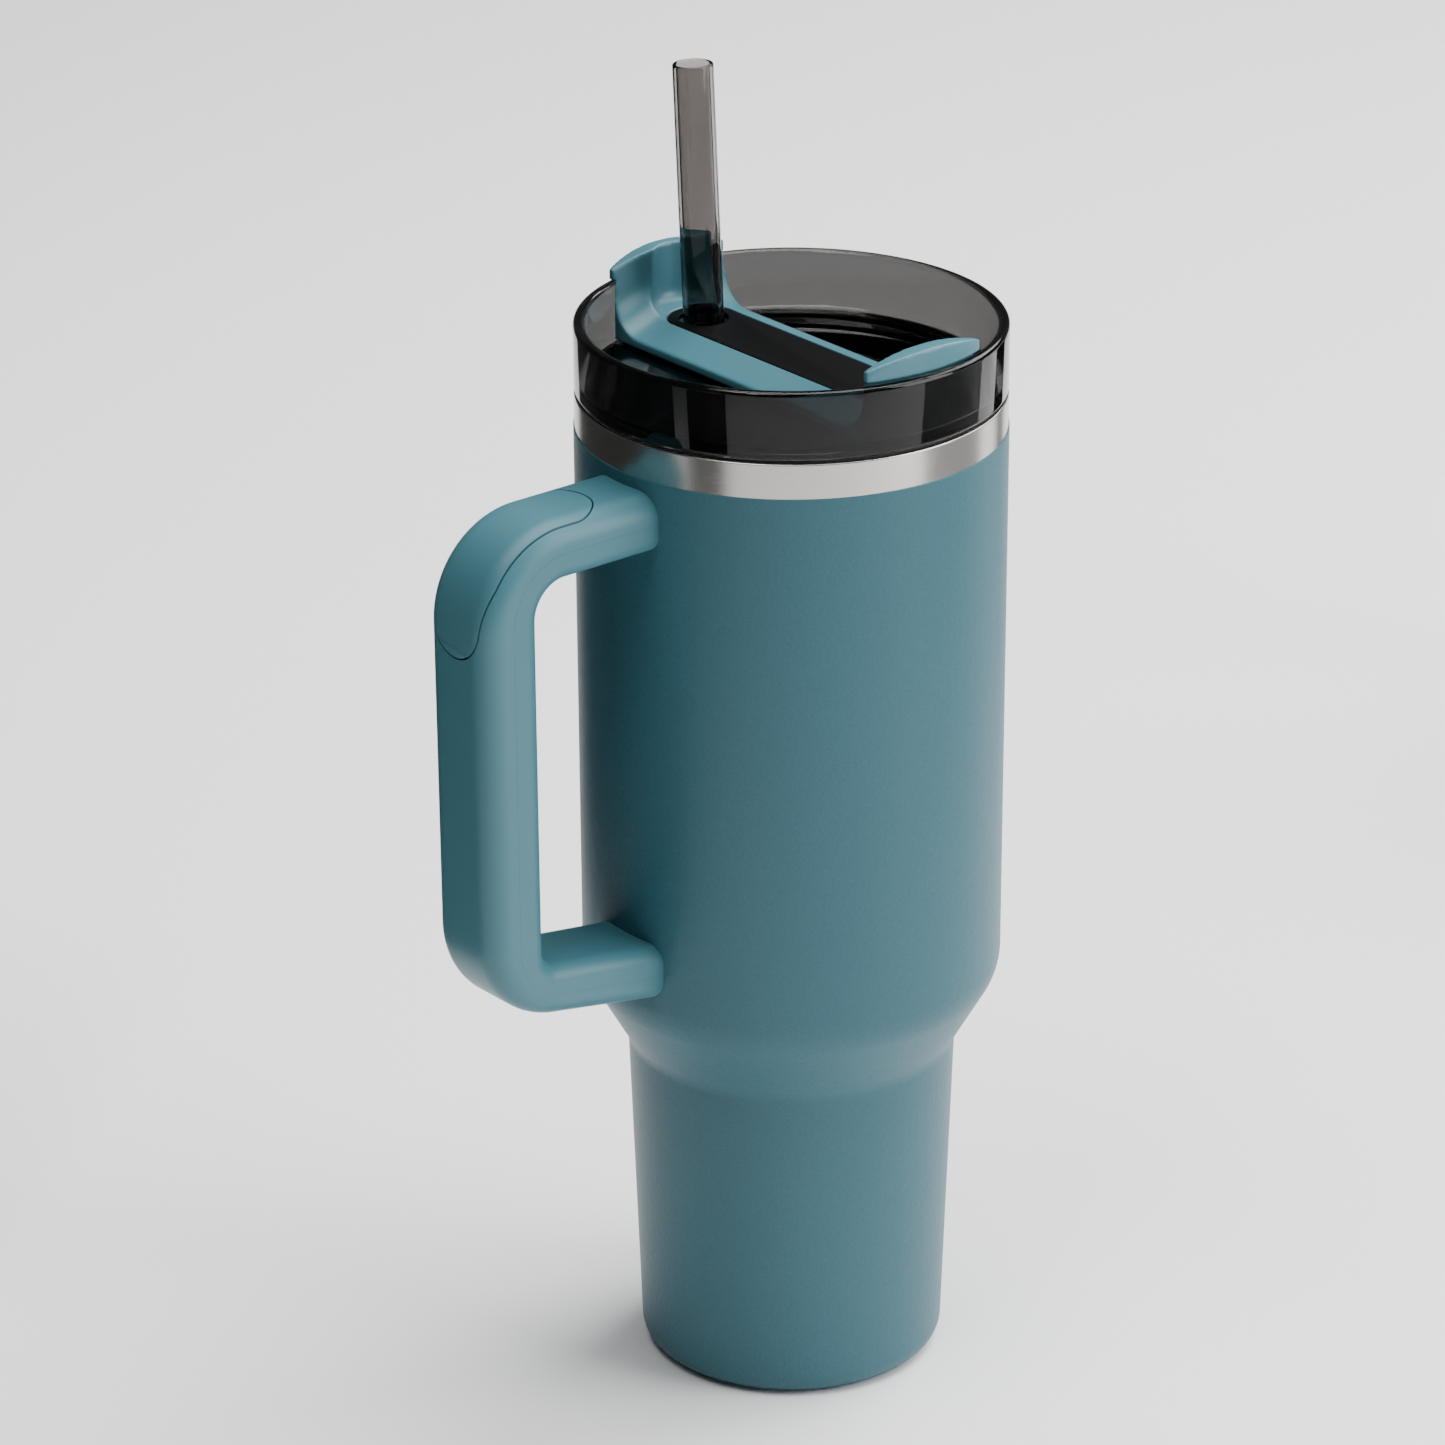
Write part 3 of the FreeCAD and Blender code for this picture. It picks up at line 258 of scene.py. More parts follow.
@dataclass(frozen=True)
class PowderCoat:
    """Baked paint with a fine pebbled skin."""

    name: str = "powder_coat_paint"
    colour: Colour = (0.028, 0.104, 0.132)
    pebble: float = 950.0
    height: float = 0.00011

    def make(self) -> bpy.types.Material:
        """Builds the material."""
        shader = Shader(self.name)
        place = shader.place()
        coarse = shader.noise(place, self.pebble, 3.0, 0.55)
        fine = shader.noise(place, self.pebble * 2.7, 2.0, 0.6)
        cloud = shader.noise(place, 22.0, 2.0)
        fleck = shader.ramp(fine, [(0.35, shade(self.colour, 0.90)),
                                   (0.65, shade(self.colour, 1.09))])
        colour = shader.blend(cloud * 0.25, fleck, shade(self.colour, 0.95))
        relief = shader.bump(coarse, self.height, 0.85)
        return shader.finish(Base_Color=colour, Roughness=0.40 + 0.10 * coarse,
                             Normal=shader.bump(fine, self.height * 0.3, 0.4, relief),
                             Specular_IOR_Level=0.30)


@dataclass(frozen=True)
class BrushedSteel:
    """Steel brushed round the cup's axis."""

    name: str = "brushed_steel_band"
    colour: Colour = (0.46, 0.447, 0.43)
    lines: float = 9000.0

    def make(self) -> bpy.types.Material:
        """Builds the material."""
        shader = Shader(self.name)
        across, along, up = shader.axes()
        turn = along.angle_to(across)
        streak = shader.noise(shader.vector(turn * 9.0, up * self.lines, 0.0), 1.0, 3.0, 0.7)
        patch = shader.noise(shader.vector(turn * 3.0, up * 300.0, 4.0), 1.0, 2.0)
        colour = shader.blend(streak, shade(self.colour, 0.70), shade(self.colour, 1.25))
        return shader.finish(Base_Color=colour, Metallic=1.0,
                             Roughness=0.15 + 0.10 * streak + 0.04 * patch,
                             Normal=shader.bump(streak, 0.00002, 0.30))


@dataclass(frozen=True)
class SatinSteel:
    """Steel with the dull even finish of a drawn part."""

    name: str = "satin_steel"
    colour: Colour = (0.60, 0.59, 0.575)

    def make(self) -> bpy.types.Material:
        """Builds the material."""
        shader = Shader(self.name)
        place = shader.place()
        grain = shader.noise(place, 2400.0, 3.0, 0.6)
        cloud = shader.noise(place, 60.0, 2.0)
        colour = shader.blend(cloud, shade(self.colour, 0.92), self.colour)
        return shader.finish(Base_Color=colour, Metallic=1.0, Roughness=0.30 + 0.14 * grain,
                             Normal=shader.bump(grain, 0.00001, 0.4))


@dataclass(frozen=True)
class SatinPlastic:
    """Moulded plastic with a very fine spark-eroded texture."""

    name: str = "satin_teal_plastic"
    colour: Colour = (0.048, 0.152, 0.186)
    roughness: float = 0.40
    grain: float = 3200.0

    def make(self) -> bpy.types.Material:
        """Builds the material."""
        shader = Shader(self.name)
        place = shader.place()
        grain = shader.noise(place, self.grain, 2.0, 0.5)
        flow = shader.noise(place, 30.0, 2.0)
        colour = shader.blend(flow, shade(self.colour, 0.95), shade(self.colour, 1.04))
        return shader.finish(Base_Color=colour, Roughness=self.roughness + 0.08 * (flow - 0.5),
                             Normal=shader.bump(grain, 0.00001, 0.5),
                             Specular_IOR_Level=0.34)


@dataclass(frozen=True)
class SmokePlastic:
    """Clear plastic with a smoke tint."""

    name: str = "clear_smoke"
    colour: Colour = (0.075, 0.073, 0.071)
    roughness: float = 0.02

    def make(self) -> bpy.types.Material:
        """Builds the material."""
        shader = Shader(self.name)
        place = shader.place()
        flow = shader.noise(place, 18.0, 2.0)
        scuff = shader.noise(place, 1500.0, 3.0, 0.7)
        colour = shader.blend(flow, shade(self.colour, 0.92), shade(self.colour, 1.05))
        return shader.finish(Base_Color=colour, Roughness=self.roughness + 0.02 * scuff,
                             Normal=shader.bump(flow, 0.0002, 0.25),
                             Transmission_Weight=1.0, IOR=1.33)


@dataclass(frozen=True)
class MattPlastic:
    """Matt moulded plastic with a sandy texture."""

    name: str = "matt_black_plastic"
    colour: Colour = (0.002, 0.0021, 0.0023)
    roughness: float = 0.55

    def make(self) -> bpy.types.Material:
        """Builds the material."""
        shader = Shader(self.name)
        place = shader.place()
        grain = shader.noise(place, 2600.0, 2.0, 0.6)
        colour = shader.ramp(grain, [(0.3, shade(self.colour, 0.8)),
                                     (0.7, shade(self.colour, 1.5))])
        return shader.finish(Base_Color=colour, Roughness=self.roughness + 0.12 * (grain - 0.5),
                             Normal=shader.bump(grain, 0.00002, 0.5), Specular_IOR_Level=0.05)


@dataclass(frozen=True)
class Silicone:
    """Soft rubber with a dusty bloom."""

    name: str = "grey_silicone"
    colour: Colour = (0.10, 0.105, 0.11)

    def make(self) -> bpy.types.Material:
        """Builds the material."""
        shader = Shader(self.name)
        place = shader.place()
        bloom = shader.noise(place, 160.0, 3.0, 0.6)
        colour = shader.blend(bloom, shade(self.colour, 0.85), shade(self.colour, 1.15))
        return shader.finish(Base_Color=colour, Roughness=0.55 + 0.15 * bloom,
                             Normal=shader.bump(bloom, 0.00002, 0.3), Sheen_Weight=0.15)


class Finish(Enum):
    """The finishes that the pieces wear."""

    COAT = PowderCoat()
    BAND = BrushedSteel()
    STEEL = SatinSteel()
    HANDLE = SatinPlastic()
    COVER = SatinPlastic("satin_teal_cover", (0.050, 0.155, 0.192), 0.36, 4200.0)
    GRIP = SatinPlastic("soft_teal_grip", (0.050, 0.155, 0.190), 0.46, 2200.0)
    SMOKE = SmokePlastic()
    STRAW = SmokePlastic("clear_smoke_straw", (0.30, 0.285, 0.275), 0.03)
    BLACK = MattPlastic()
    SEAL = Silicone()
    GETTER = SatinSteel("sintered_getter", (0.22, 0.21, 0.20))
    BEAD = SmokePlastic("fused_bead", (0.5, 0.5, 0.52), 0.25)


class Wardrobe:
    """Makes each finish once and puts it on pieces."""

    def __init__(self) -> None:
        """Starts with nothing made."""
        self.made: dict[Finish, bpy.types.Material] = {}

    def dress(self, piece: bpy.types.Object, finish: Finish) -> None:
        """Puts a finish on every slot of a piece."""
        if finish not in self.made:
            self.made[finish] = finish.value.make()
        if not piece.material_slots:
            piece.data.materials.append(self.made[finish])
        for slot in piece.material_slots:
            slot.material = self.made[finish]


# ------------------------------------------------------------------ modelling


class Join(Enum):
    """Ways to combine two solids."""

    ADD = "UNION"
    CUT = "DIFFERENCE"
    KEEP = "INTERSECT"


def round_corners(corners: list[Corner], steps: int = 10, closed: bool = True) -> list[Vector]:
    """Draws an outline with its corners rounded.

    Args:
        corners: each corner's two coordinates and its radius.
        steps: how many short edges make each round corner.
        closed: whether the last corner joins the first.

    Returns:
        The outline's points, in two dimensions.
    """
    points: list[Vector] = []
    count = len(corners)
    for number, (across, up, radius) in enumerate(corners):
        here = Vector((across, up))
        is_end = not closed and number in (0, count - 1)
        if radius <= 0 or is_end:
            points.append(here)
            continue
        before = (Vector(corners[number - 1][:2]) - here).normalized()
        after = (Vector(corners[(number + 1) % count][:2]) - here).normalized()
        half = before.angle(after) / 2
        centre = here + (before + after).normalized() * (radius / math.sin(half))
        first = here + before * (radius / math.tan(half)) - centre
        last = here + after * (radius / math.tan(half)) - centre
        swing = first.angle_signed(last)
        for step in range(steps + 1):
            turn = -swing * step / steps
            points.append(centre + Vector((
                first.x * math.cos(turn) - first.y * math.sin(turn),
                first.x * math.sin(turn) + first.y * math.cos(turn))))
    return points


def close_spaced(points: list[Vector], stride: float) -> list[Vector]:
    """Adds points to an open outline, so that none of its edges is longer than a stride."""
    spaced = [points[0]]
    for here, after in zip(points, points[1:]):
        count = max(1, math.ceil((after - here).length / stride))
        spaced += [here.lerp(after, step / count) for step in range(1, count + 1)]
    return spaced


class Bench:
    """Modelling operations, each done as by hand in edit mode."""

    @staticmethod
    def clear() -> None:
        """Leaves edit mode and selects nothing."""
        if bpy.context.object is not None and bpy.context.object.mode != "OBJECT":
            bpy.ops.object.mode_set(mode="OBJECT")
        bpy.ops.object.select_all(action="DESELECT")

    @staticmethod
    def pick(piece: bpy.types.Object) -> None:
        """Selects one piece and makes it active."""
        Bench.clear()
        piece.select_set(True)
        bpy.context.view_layer.objects.active = piece

    @staticmethod
    def trace(name: str, points: list[Vector], closed: bool = True) -> bpy.types.Object:
        """Draws an outline by extruding one vertex from point to point.

        Args:
            name: the new piece's name.
            points: the outline, in order.
            closed: whether the last point joins the first.

        Returns:
            The piece, in edit mode, with everything selected.
        """
        Bench.clear()
        bpy.ops.mesh.primitive_plane_add(size=0.01, location=points[0])
        piece = bpy.context.object
        piece.name = piece.data.name = name
        bpy.ops.object.mode_set(mode="EDIT")
        bpy.ops.mesh.select_mode(type="VERT")
        bpy.ops.mesh.merge(type="CENTER")
        for here, after in zip(points, points[1:]):
            bpy.ops.mesh.extrude_region_move(TRANSFORM_OT_translate={"value": after - here})
        if closed:
            Bench.select_vertices(piece, lambda vertex: len(vertex.link_edges) < 2)
            bpy.ops.mesh.edge_face_add()
        bpy.ops.mesh.select_all(action="SELECT")
        return piece

    @staticmethod
    def select_vertices(piece: bpy.types.Object,
                        test: Callable[[bmesh.types.BMVert], bool]) -> None:
        """Selects the vertices that pass a test."""
        bpy.ops.mesh.select_all(action="DESELECT")
        mesh = bmesh.from_edit_mesh(piece.data)
        for vertex in mesh.verts:
            vertex.select_set(test(vertex))
        mesh.select_flush_mode()
        bmesh.update_edit_mesh(piece.data)

    @staticmethod
    def select_edges(piece: bpy.types.Object, test: Callable[[bmesh.types.BMEdge], bool]) -> int:
        """Selects the edges that pass a test and returns how many there are."""
        bpy.ops.mesh.select_mode(type="EDGE")
        bpy.ops.mesh.select_all(action="DESELECT")
        mesh = bmesh.from_edit_mesh(piece.data)
        count = 0
        for edge in mesh.edges:
            if test(edge):
                edge.select_set(True)
                count += 1
        bmesh.update_edit_mesh(piece.data)
        return count

    @staticmethod
    def close_up(piece: bpy.types.Object) -> bpy.types.Object:
        """Merges doubles, turns the faces outwards and puts the place into the mesh."""
        if piece.mode != "EDIT":
            Bench.pick(piece)
            bpy.ops.object.mode_set(mode="EDIT")
        bpy.ops.mesh.select_all(action="SELECT")
        bpy.ops.mesh.remove_doubles(threshold=1e-6)
        bpy.ops.mesh.normals_make_consistent(inside=False)
        bpy.ops.object.mode_set(mode="OBJECT")
        Bench.pick(piece)
        bpy.ops.object.transform_apply(location=True, rotation=True, scale=True)
        return piece

    @staticmethod
    def turned(name: str, outline: list[Vector], closed: bool = True,
               segments: int = 192) -> bpy.types.Object:
        """Spins an outline of radius and height about the cup's axis.

        Args:
            name: the new piece's name.
            outline: points of radius and height.
            closed: whether the outline is a loop; an open one ends on the axis.
            segments: how many steps the turn has.

        Returns:
            The finished solid.
        """
        piece = Bench.trace(name, [Vector((spot.x, 0.0, spot.y)) for spot in outline], closed)
        bpy.ops.mesh.spin(steps=segments, angle=2 * math.pi, center=(0, 0, 0), axis=AXIS)
        return Bench.close_up(piece)

    @staticmethod
    def extruded(name: str, points: list[Vector], move: Vector) -> bpy.types.Object:
        """Fills an outline and extrudes it into a solid."""
        piece = Bench.trace(name, points)
        bpy.ops.mesh.edge_face_add()
        bpy.ops.mesh.extrude_region_move(TRANSFORM_OT_translate={"value": move})
        return Bench.close_up(piece)

    @staticmethod
    def copied(piece: bpy.types.Object, name: str) -> bpy.types.Object:
        """A copy with a mesh of its own."""
        Bench.pick(piece)
        bpy.ops.object.duplicate(linked=False)
        copy = bpy.context.object
        copy.name = copy.data.name = name
        return copy

    @staticmethod
    def apply(piece: bpy.types.Object, kind: str, **settings: object) -> None:
        """Adds a modifier and applies it."""
        modifier = piece.modifiers.new(kind.lower(), kind)
        for name, value in settings.items():
            setattr(modifier, name, value)
        Bench.pick(piece)
        bpy.ops.object.modifier_apply(modifier=modifier.name)

    @staticmethod
    def combine(piece: bpy.types.Object, other: bpy.types.Object, how: Join,
                keep_other: bool = False) -> bpy.types.Object:
        """Adds, cuts or intersects one solid with another."""
        Bench.apply(piece, "BOOLEAN", operation=how.value, object=other, solver="EXACT")
        if not keep_other:
            bpy.data.objects.remove(other, do_unlink=True)
        return piece

    @staticmethod
    def bevel(piece: bpy.types.Object, test: Callable[[bmesh.types.BMEdge], bool], width: float,
              segments: int) -> None:
        """Rounds the edges that pass a test."""
        Bench.pick(piece)
        bpy.ops.object.mode_set(mode="EDIT")
        if Bench.select_edges(piece, test) == 0:
            raise ValueError(f"no edge to round on {piece.name}")
        bpy.ops.mesh.bevel(offset=width, segments=segments, affect="EDGES", clamp_overlap=True)
        bpy.ops.object.mode_set(mode="OBJECT")

    @staticmethod
    def smooth(piece: bpy.types.Object, degrees: float = 32.0) -> bpy.types.Object:
        """Shades a piece smooth, apart from its sharp edges."""
        Bench.pick(piece)
        bpy.ops.object.shade_smooth_by_angle(angle=math.radians(degrees))
        return piece

    @staticmethod
    def ridge(name: str, corners: list[Vector], lead: float, turns: float,
              start: float) -> bpy.types.Object:
        """Sweeps a ridge's outline along a thread.

        Args:
            name: the new piece's name.
            corners: the outline, as radius and height.
            lead: how far one turn rises.
            turns: how many turns it has.
            start: the angle where it starts, in radians.

        Returns:
            The closed ridge.
        """
        piece = Bench.trace(name, [Vector((spot.x, 0.0, spot.y)) for spot in corners])
        bpy.ops.object.mode_set(mode="OBJECT")
        bpy.ops.object.transform_apply(location=True, rotation=False, scale=False)
        steps = int(turns * 96)
        Bench.apply(piece, "SCREW", axis="Z", angle=2 * math.pi * turns,
                    screw_offset=lead * turns, steps=steps, render_steps=steps,
                    use_merge_vertices=False)
        Bench.pick(piece)
        bpy.ops.object.mode_set(mode="EDIT")
        bpy.ops.mesh.select_mode(type="EDGE")
        bpy.ops.mesh.select_all(action="DESELECT")
        bpy.ops.mesh.select_non_manifold()
        bpy.ops.mesh.edge_face_add()
        bpy.ops.object.mode_set(mode="OBJECT")
        piece.rotation_euler = Euler((0.0, 0.0, start))
        return Bench.close_up(piece)


@dataclass(frozen=True)
class Thread:
    """The two-start thread that the lid and the cup's neck share."""

    root: float = 0.0022
    tip: float = 0.0012
    lead: float = 0.010
    turns: float = 0.9
    starts: int = 2

    def cut_on(self, piece: bpy.types.Object, face_r: float, rise: float, sink: float,
               low: float) -> None:
        """Adds the thread's ridges to a piece.

        Args:
            piece: what they stand on.
            face_r: radius of the face that they stand on.
            rise: how far they stand out from it; negative is inwards.
            sink: how far they reach into the piece.
            low: height of the first end's lower edge.
        """
        slope = (self.root - self.tip) / 2
        outline = [Vector((face_r - sink, low)), Vector((face_r, low)),
                   Vector((face_r + rise, low + slope)),
                   Vector((face_r + rise, low + self.root - slope)),
                   Vector((face_r, low + self.root)), Vector((face_r - sink, low + self.root))]
        for number in range(self.starts):
            ridge = Bench.ridge(f"{piece.name}_ridge_{number}", outline, self.lead, self.turns,
                                2 * math.pi * number / self.starts)
            Bench.combine(piece, ridge, Join.ADD)


# ------------------------------------------------------------------ sub-assemblies


class SubAssembly:
    """What every sub-assembly does: places, dresses and reports its pieces."""

    body = "cup"

    def __init__(self, wardrobe: Wardrobe) -> None:
        """Keeps the wardrobe that dresses its pieces."""
        self.wardrobe = wardrobe

    def settle(self, piece: bpy.types.Object, finish: Finish, slot: str, nodes: Iterable[str],
               body: Optional[str] = None) -> bpy.types.Object:
        """Dresses a piece, rides it on its body and hides the nodes that it stands for."""
        self.wardrobe.dress(piece, finish)
        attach(piece, body or self.body)
        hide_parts(*nodes)
        LOG.info("%s: %d faces in %s", piece.name, len(piece.data.polygons), finish.name.lower())
        return piece

    def carry(self, frame: dict, finishes: dict[str, Finish]) -> None:
        """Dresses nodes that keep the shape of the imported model."""
        for node, finish in finishes.items():
            self.wardrobe.dress(frame["nodes"][node], finish)
            LOG.info("%s: carried over in %s", node, finish.name.lower())


@dataclass
class CupSizes:
    """Sizes of the two steel walls, as radii of the outer steel surface."""

    shoulder_z: float = 0.0987
    step_z: float = 0.0804
    rim_r: float = 0.04895
    shoulder_r: float = 0.04855
    step_r: float = 0.0381
    base_r: float = 0.03525
    shoulder_round: float = 0.0155
    step_round: float = 0.008
    foot_round: float = 0.0049
    coat: float = 0.00025
    shell: float = 0.0007
    wall: float = 0.00375
    liner: float = 0.0006
    land_r: float = 0.0262
    floor_z: float = 0.009
    floor_round: float = 0.006
    mouth_deep: float = 0.0031
    lip_round: float = 0.0003
    ledge_round: float = 0.0008
    neck_round: float = 0.0006
    bend_lift: float = 0.001
    inner_share: float = 0.75
    edge_share: float = 0.45
    thread_z: float = 0.2254
    thread_rise: float = 0.001
    thread: Thread = Thread()


class Cup(SubAssembly):
    """Double-walled cup: coated outer wall, bare band, liner and base."""

    def __init__(self, wardrobe: Wardrobe, sizes: CupSizes) -> None:
        """Reads the heights that the frame fixes."""
        super().__init__(wardrobe)
        self.sizes = sizes
        self.rim_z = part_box("outer_shell")[1][2]
        self.band_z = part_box("powder_coat")[1][2]

    def wall_line(self, grow: float, low: float, high: float) -> list[Corner]:
        """The wall's bends between two heights, moved outwards by some thickness."""
        size = self.sizes
        share = (size.rim_r - size.shoulder_r) / (self.rim_z - size.shoulder_z)
        top_r = size.shoulder_r + share * (high - size.shoulder_z)
        return [(size.base_r + grow, low, size.foot_round + grow),
                (size.step_r + grow, size.step_z, size.step_round - grow),
                (size.shoulder_r + grow, size.shoulder_z, size.shoulder_round + grow),
                (top_r + grow, high, 0.0)]

    def coat(self) -> bpy.types.Object:
        """The painted skin, which turns under the foot and stops at the band."""
        size = self.sizes
        outside = self.wall_line(size.coat, 0.0, self.band_z)
        outside[-1] = (*outside[-1][:2], size.coat * size.edge_share)
        inside = self.wall_line(0.0, 0.0, self.band_z)
        inside[0] = (inside[0][0], size.coat, inside[0][2])
        start = size.base_r - size.foot_round
        corners = [(start, 0.0, 0.0)] + outside + inside[::-1] + [(start, size.coat, 0.0)]
        piece = Bench.turned("coated_wall", round_corners(corners, 14))
        return self.settle(Bench.smooth(piece, 40), Finish.COAT, "teal_coat", ["powder_coat"])

    def shell(self) -> bpy.types.Object:
        """The steel outer wall, bare at the mouth and under the foot."""
        size = self.sizes
        outside = self.wall_line(0.0, size.coat, self.rim_z)
        outside[-1] = (*outside[-1][:2], size.lip_round)
        inside = self.wall_line(-size.shell, size.coat + size.shell, self.rim_z)
        corners = ([(size.land_r, 0.0, 0.0), (size.base_r - size.foot_round, 0.0, 0.0),
                    (size.base_r - size.foot_round, size.coat, 0.0)] + outside
                   + inside[::-1] + [(size.land_r, size.shell, 0.0)])
        piece = Bench.turned("steel_wall", round_corners(corners, 12))
        return self.settle(Bench.smooth(piece, 40), Finish.BAND, "steel", ["outer_shell"])

    def liner_line(self, skin: float, lip: float) -> list[Corner]:
        """The liner's bends from its lip to the axis.

        Args:
            skin: how far outside its inner face they lie.
            lip: how round its lip is.

        Returns:
            Its corners as radius, height and radius of the bend.
        """
        size = self.sizes
        neck_r = size.rim_r - size.wall + skin
        mouth_r = size.rim_r - size.shell - size.liner + skin
        ledge_z = self.rim_z - size.mouth_deep - skin
        floor_z = size.floor_z - skin
        return [(mouth_r, self.rim_z, lip), (mouth_r, ledge_z, size.ledge_round),
                (neck_r, ledge_z, size.neck_round),
                (size.shoulder_r - size.wall + skin, size.shoulder_z + size.bend_lift,
                 size.shoulder_round * size.inner_share),
                (size.step_r - size.wall + skin, size.step_z + size.bend_lift, size.step_round),
                (size.base_r - size.wall + skin, floor_z, size.floor_round), (0.0, floor_z, 0.0)]

    def liner(self) -> bpy.types.Object:
        """The inner wall, with the two ridges of the lid's thread in its neck."""
        size = self.sizes
        corners = self.liner_line(size.liner, 0.0)[::-1] + self.liner_line(0.0, size.lip_round)
        piece = Bench.turned("liner_wall", round_corners(corners, 8, closed=False), closed=False)
        size.thread.cut_on(piece, size.rim_r - size.wall, -size.thread_rise, -size.liner / 2,
                           size.thread_z)
        Bench.close_up(piece)
        return self.settle(Bench.smooth(piece, 40), Finish.STEEL, "steel_inside", ["inner_liner"])

    def build(self, frame: dict) -> None:
        """Builds the cup and dresses the sealed pieces of its base."""
        self.coat()
        self.shell()
        self.liner()
        self.carry(frame, {"base_closure": Finish.STEEL, "base_cover": Finish.STEEL,
                           "seal_bead": Finish.BEAD, "getter_pill": Finish.GETTER})


@dataclass
class HandleSizes:
    """Sizes of the handle's side view and section."""

    arm_top: float = 0.2289
    arm_thick: float = 0.0137
    grip_out: float = 0.0963
    grip_thick: float = 0.0156
    taper: float = 0.0006
    low_z: float = 0.1051
    low_thick: float = 0.0139
    low_rise: float = 0.185
    low_fall: float = 0.04
    outer_round: float = 0.023
    inner_round: float = 0.008
    low_inner_round: float = 0.004
    edge: float = 0.0058
    wall_r: float = 0.0492
    wall_low_r: float = 0.0488
    wall_low_z: float = 0.0987
    wall_high_z: float = 0.24
    root: float = 0.040
    seam: float = 0.001
    core_back: float = 0.002
    pad_deep: float = 0.0016
    pad_half: float = 0.0090
    pad_low_half: float = 0.0077
    pad_start: float = 0.0600
    pad_low: float = 0.2000
    pad_wide_z: float = 0.2173
    pad_space_low: float = 0.15
    pad_space_high: float = 0.25
    pad_space_in: float = 0.05
    pad_gap: float = 0.0004
    pad_lip: float = 0.0005
    stride: float = 0.0018


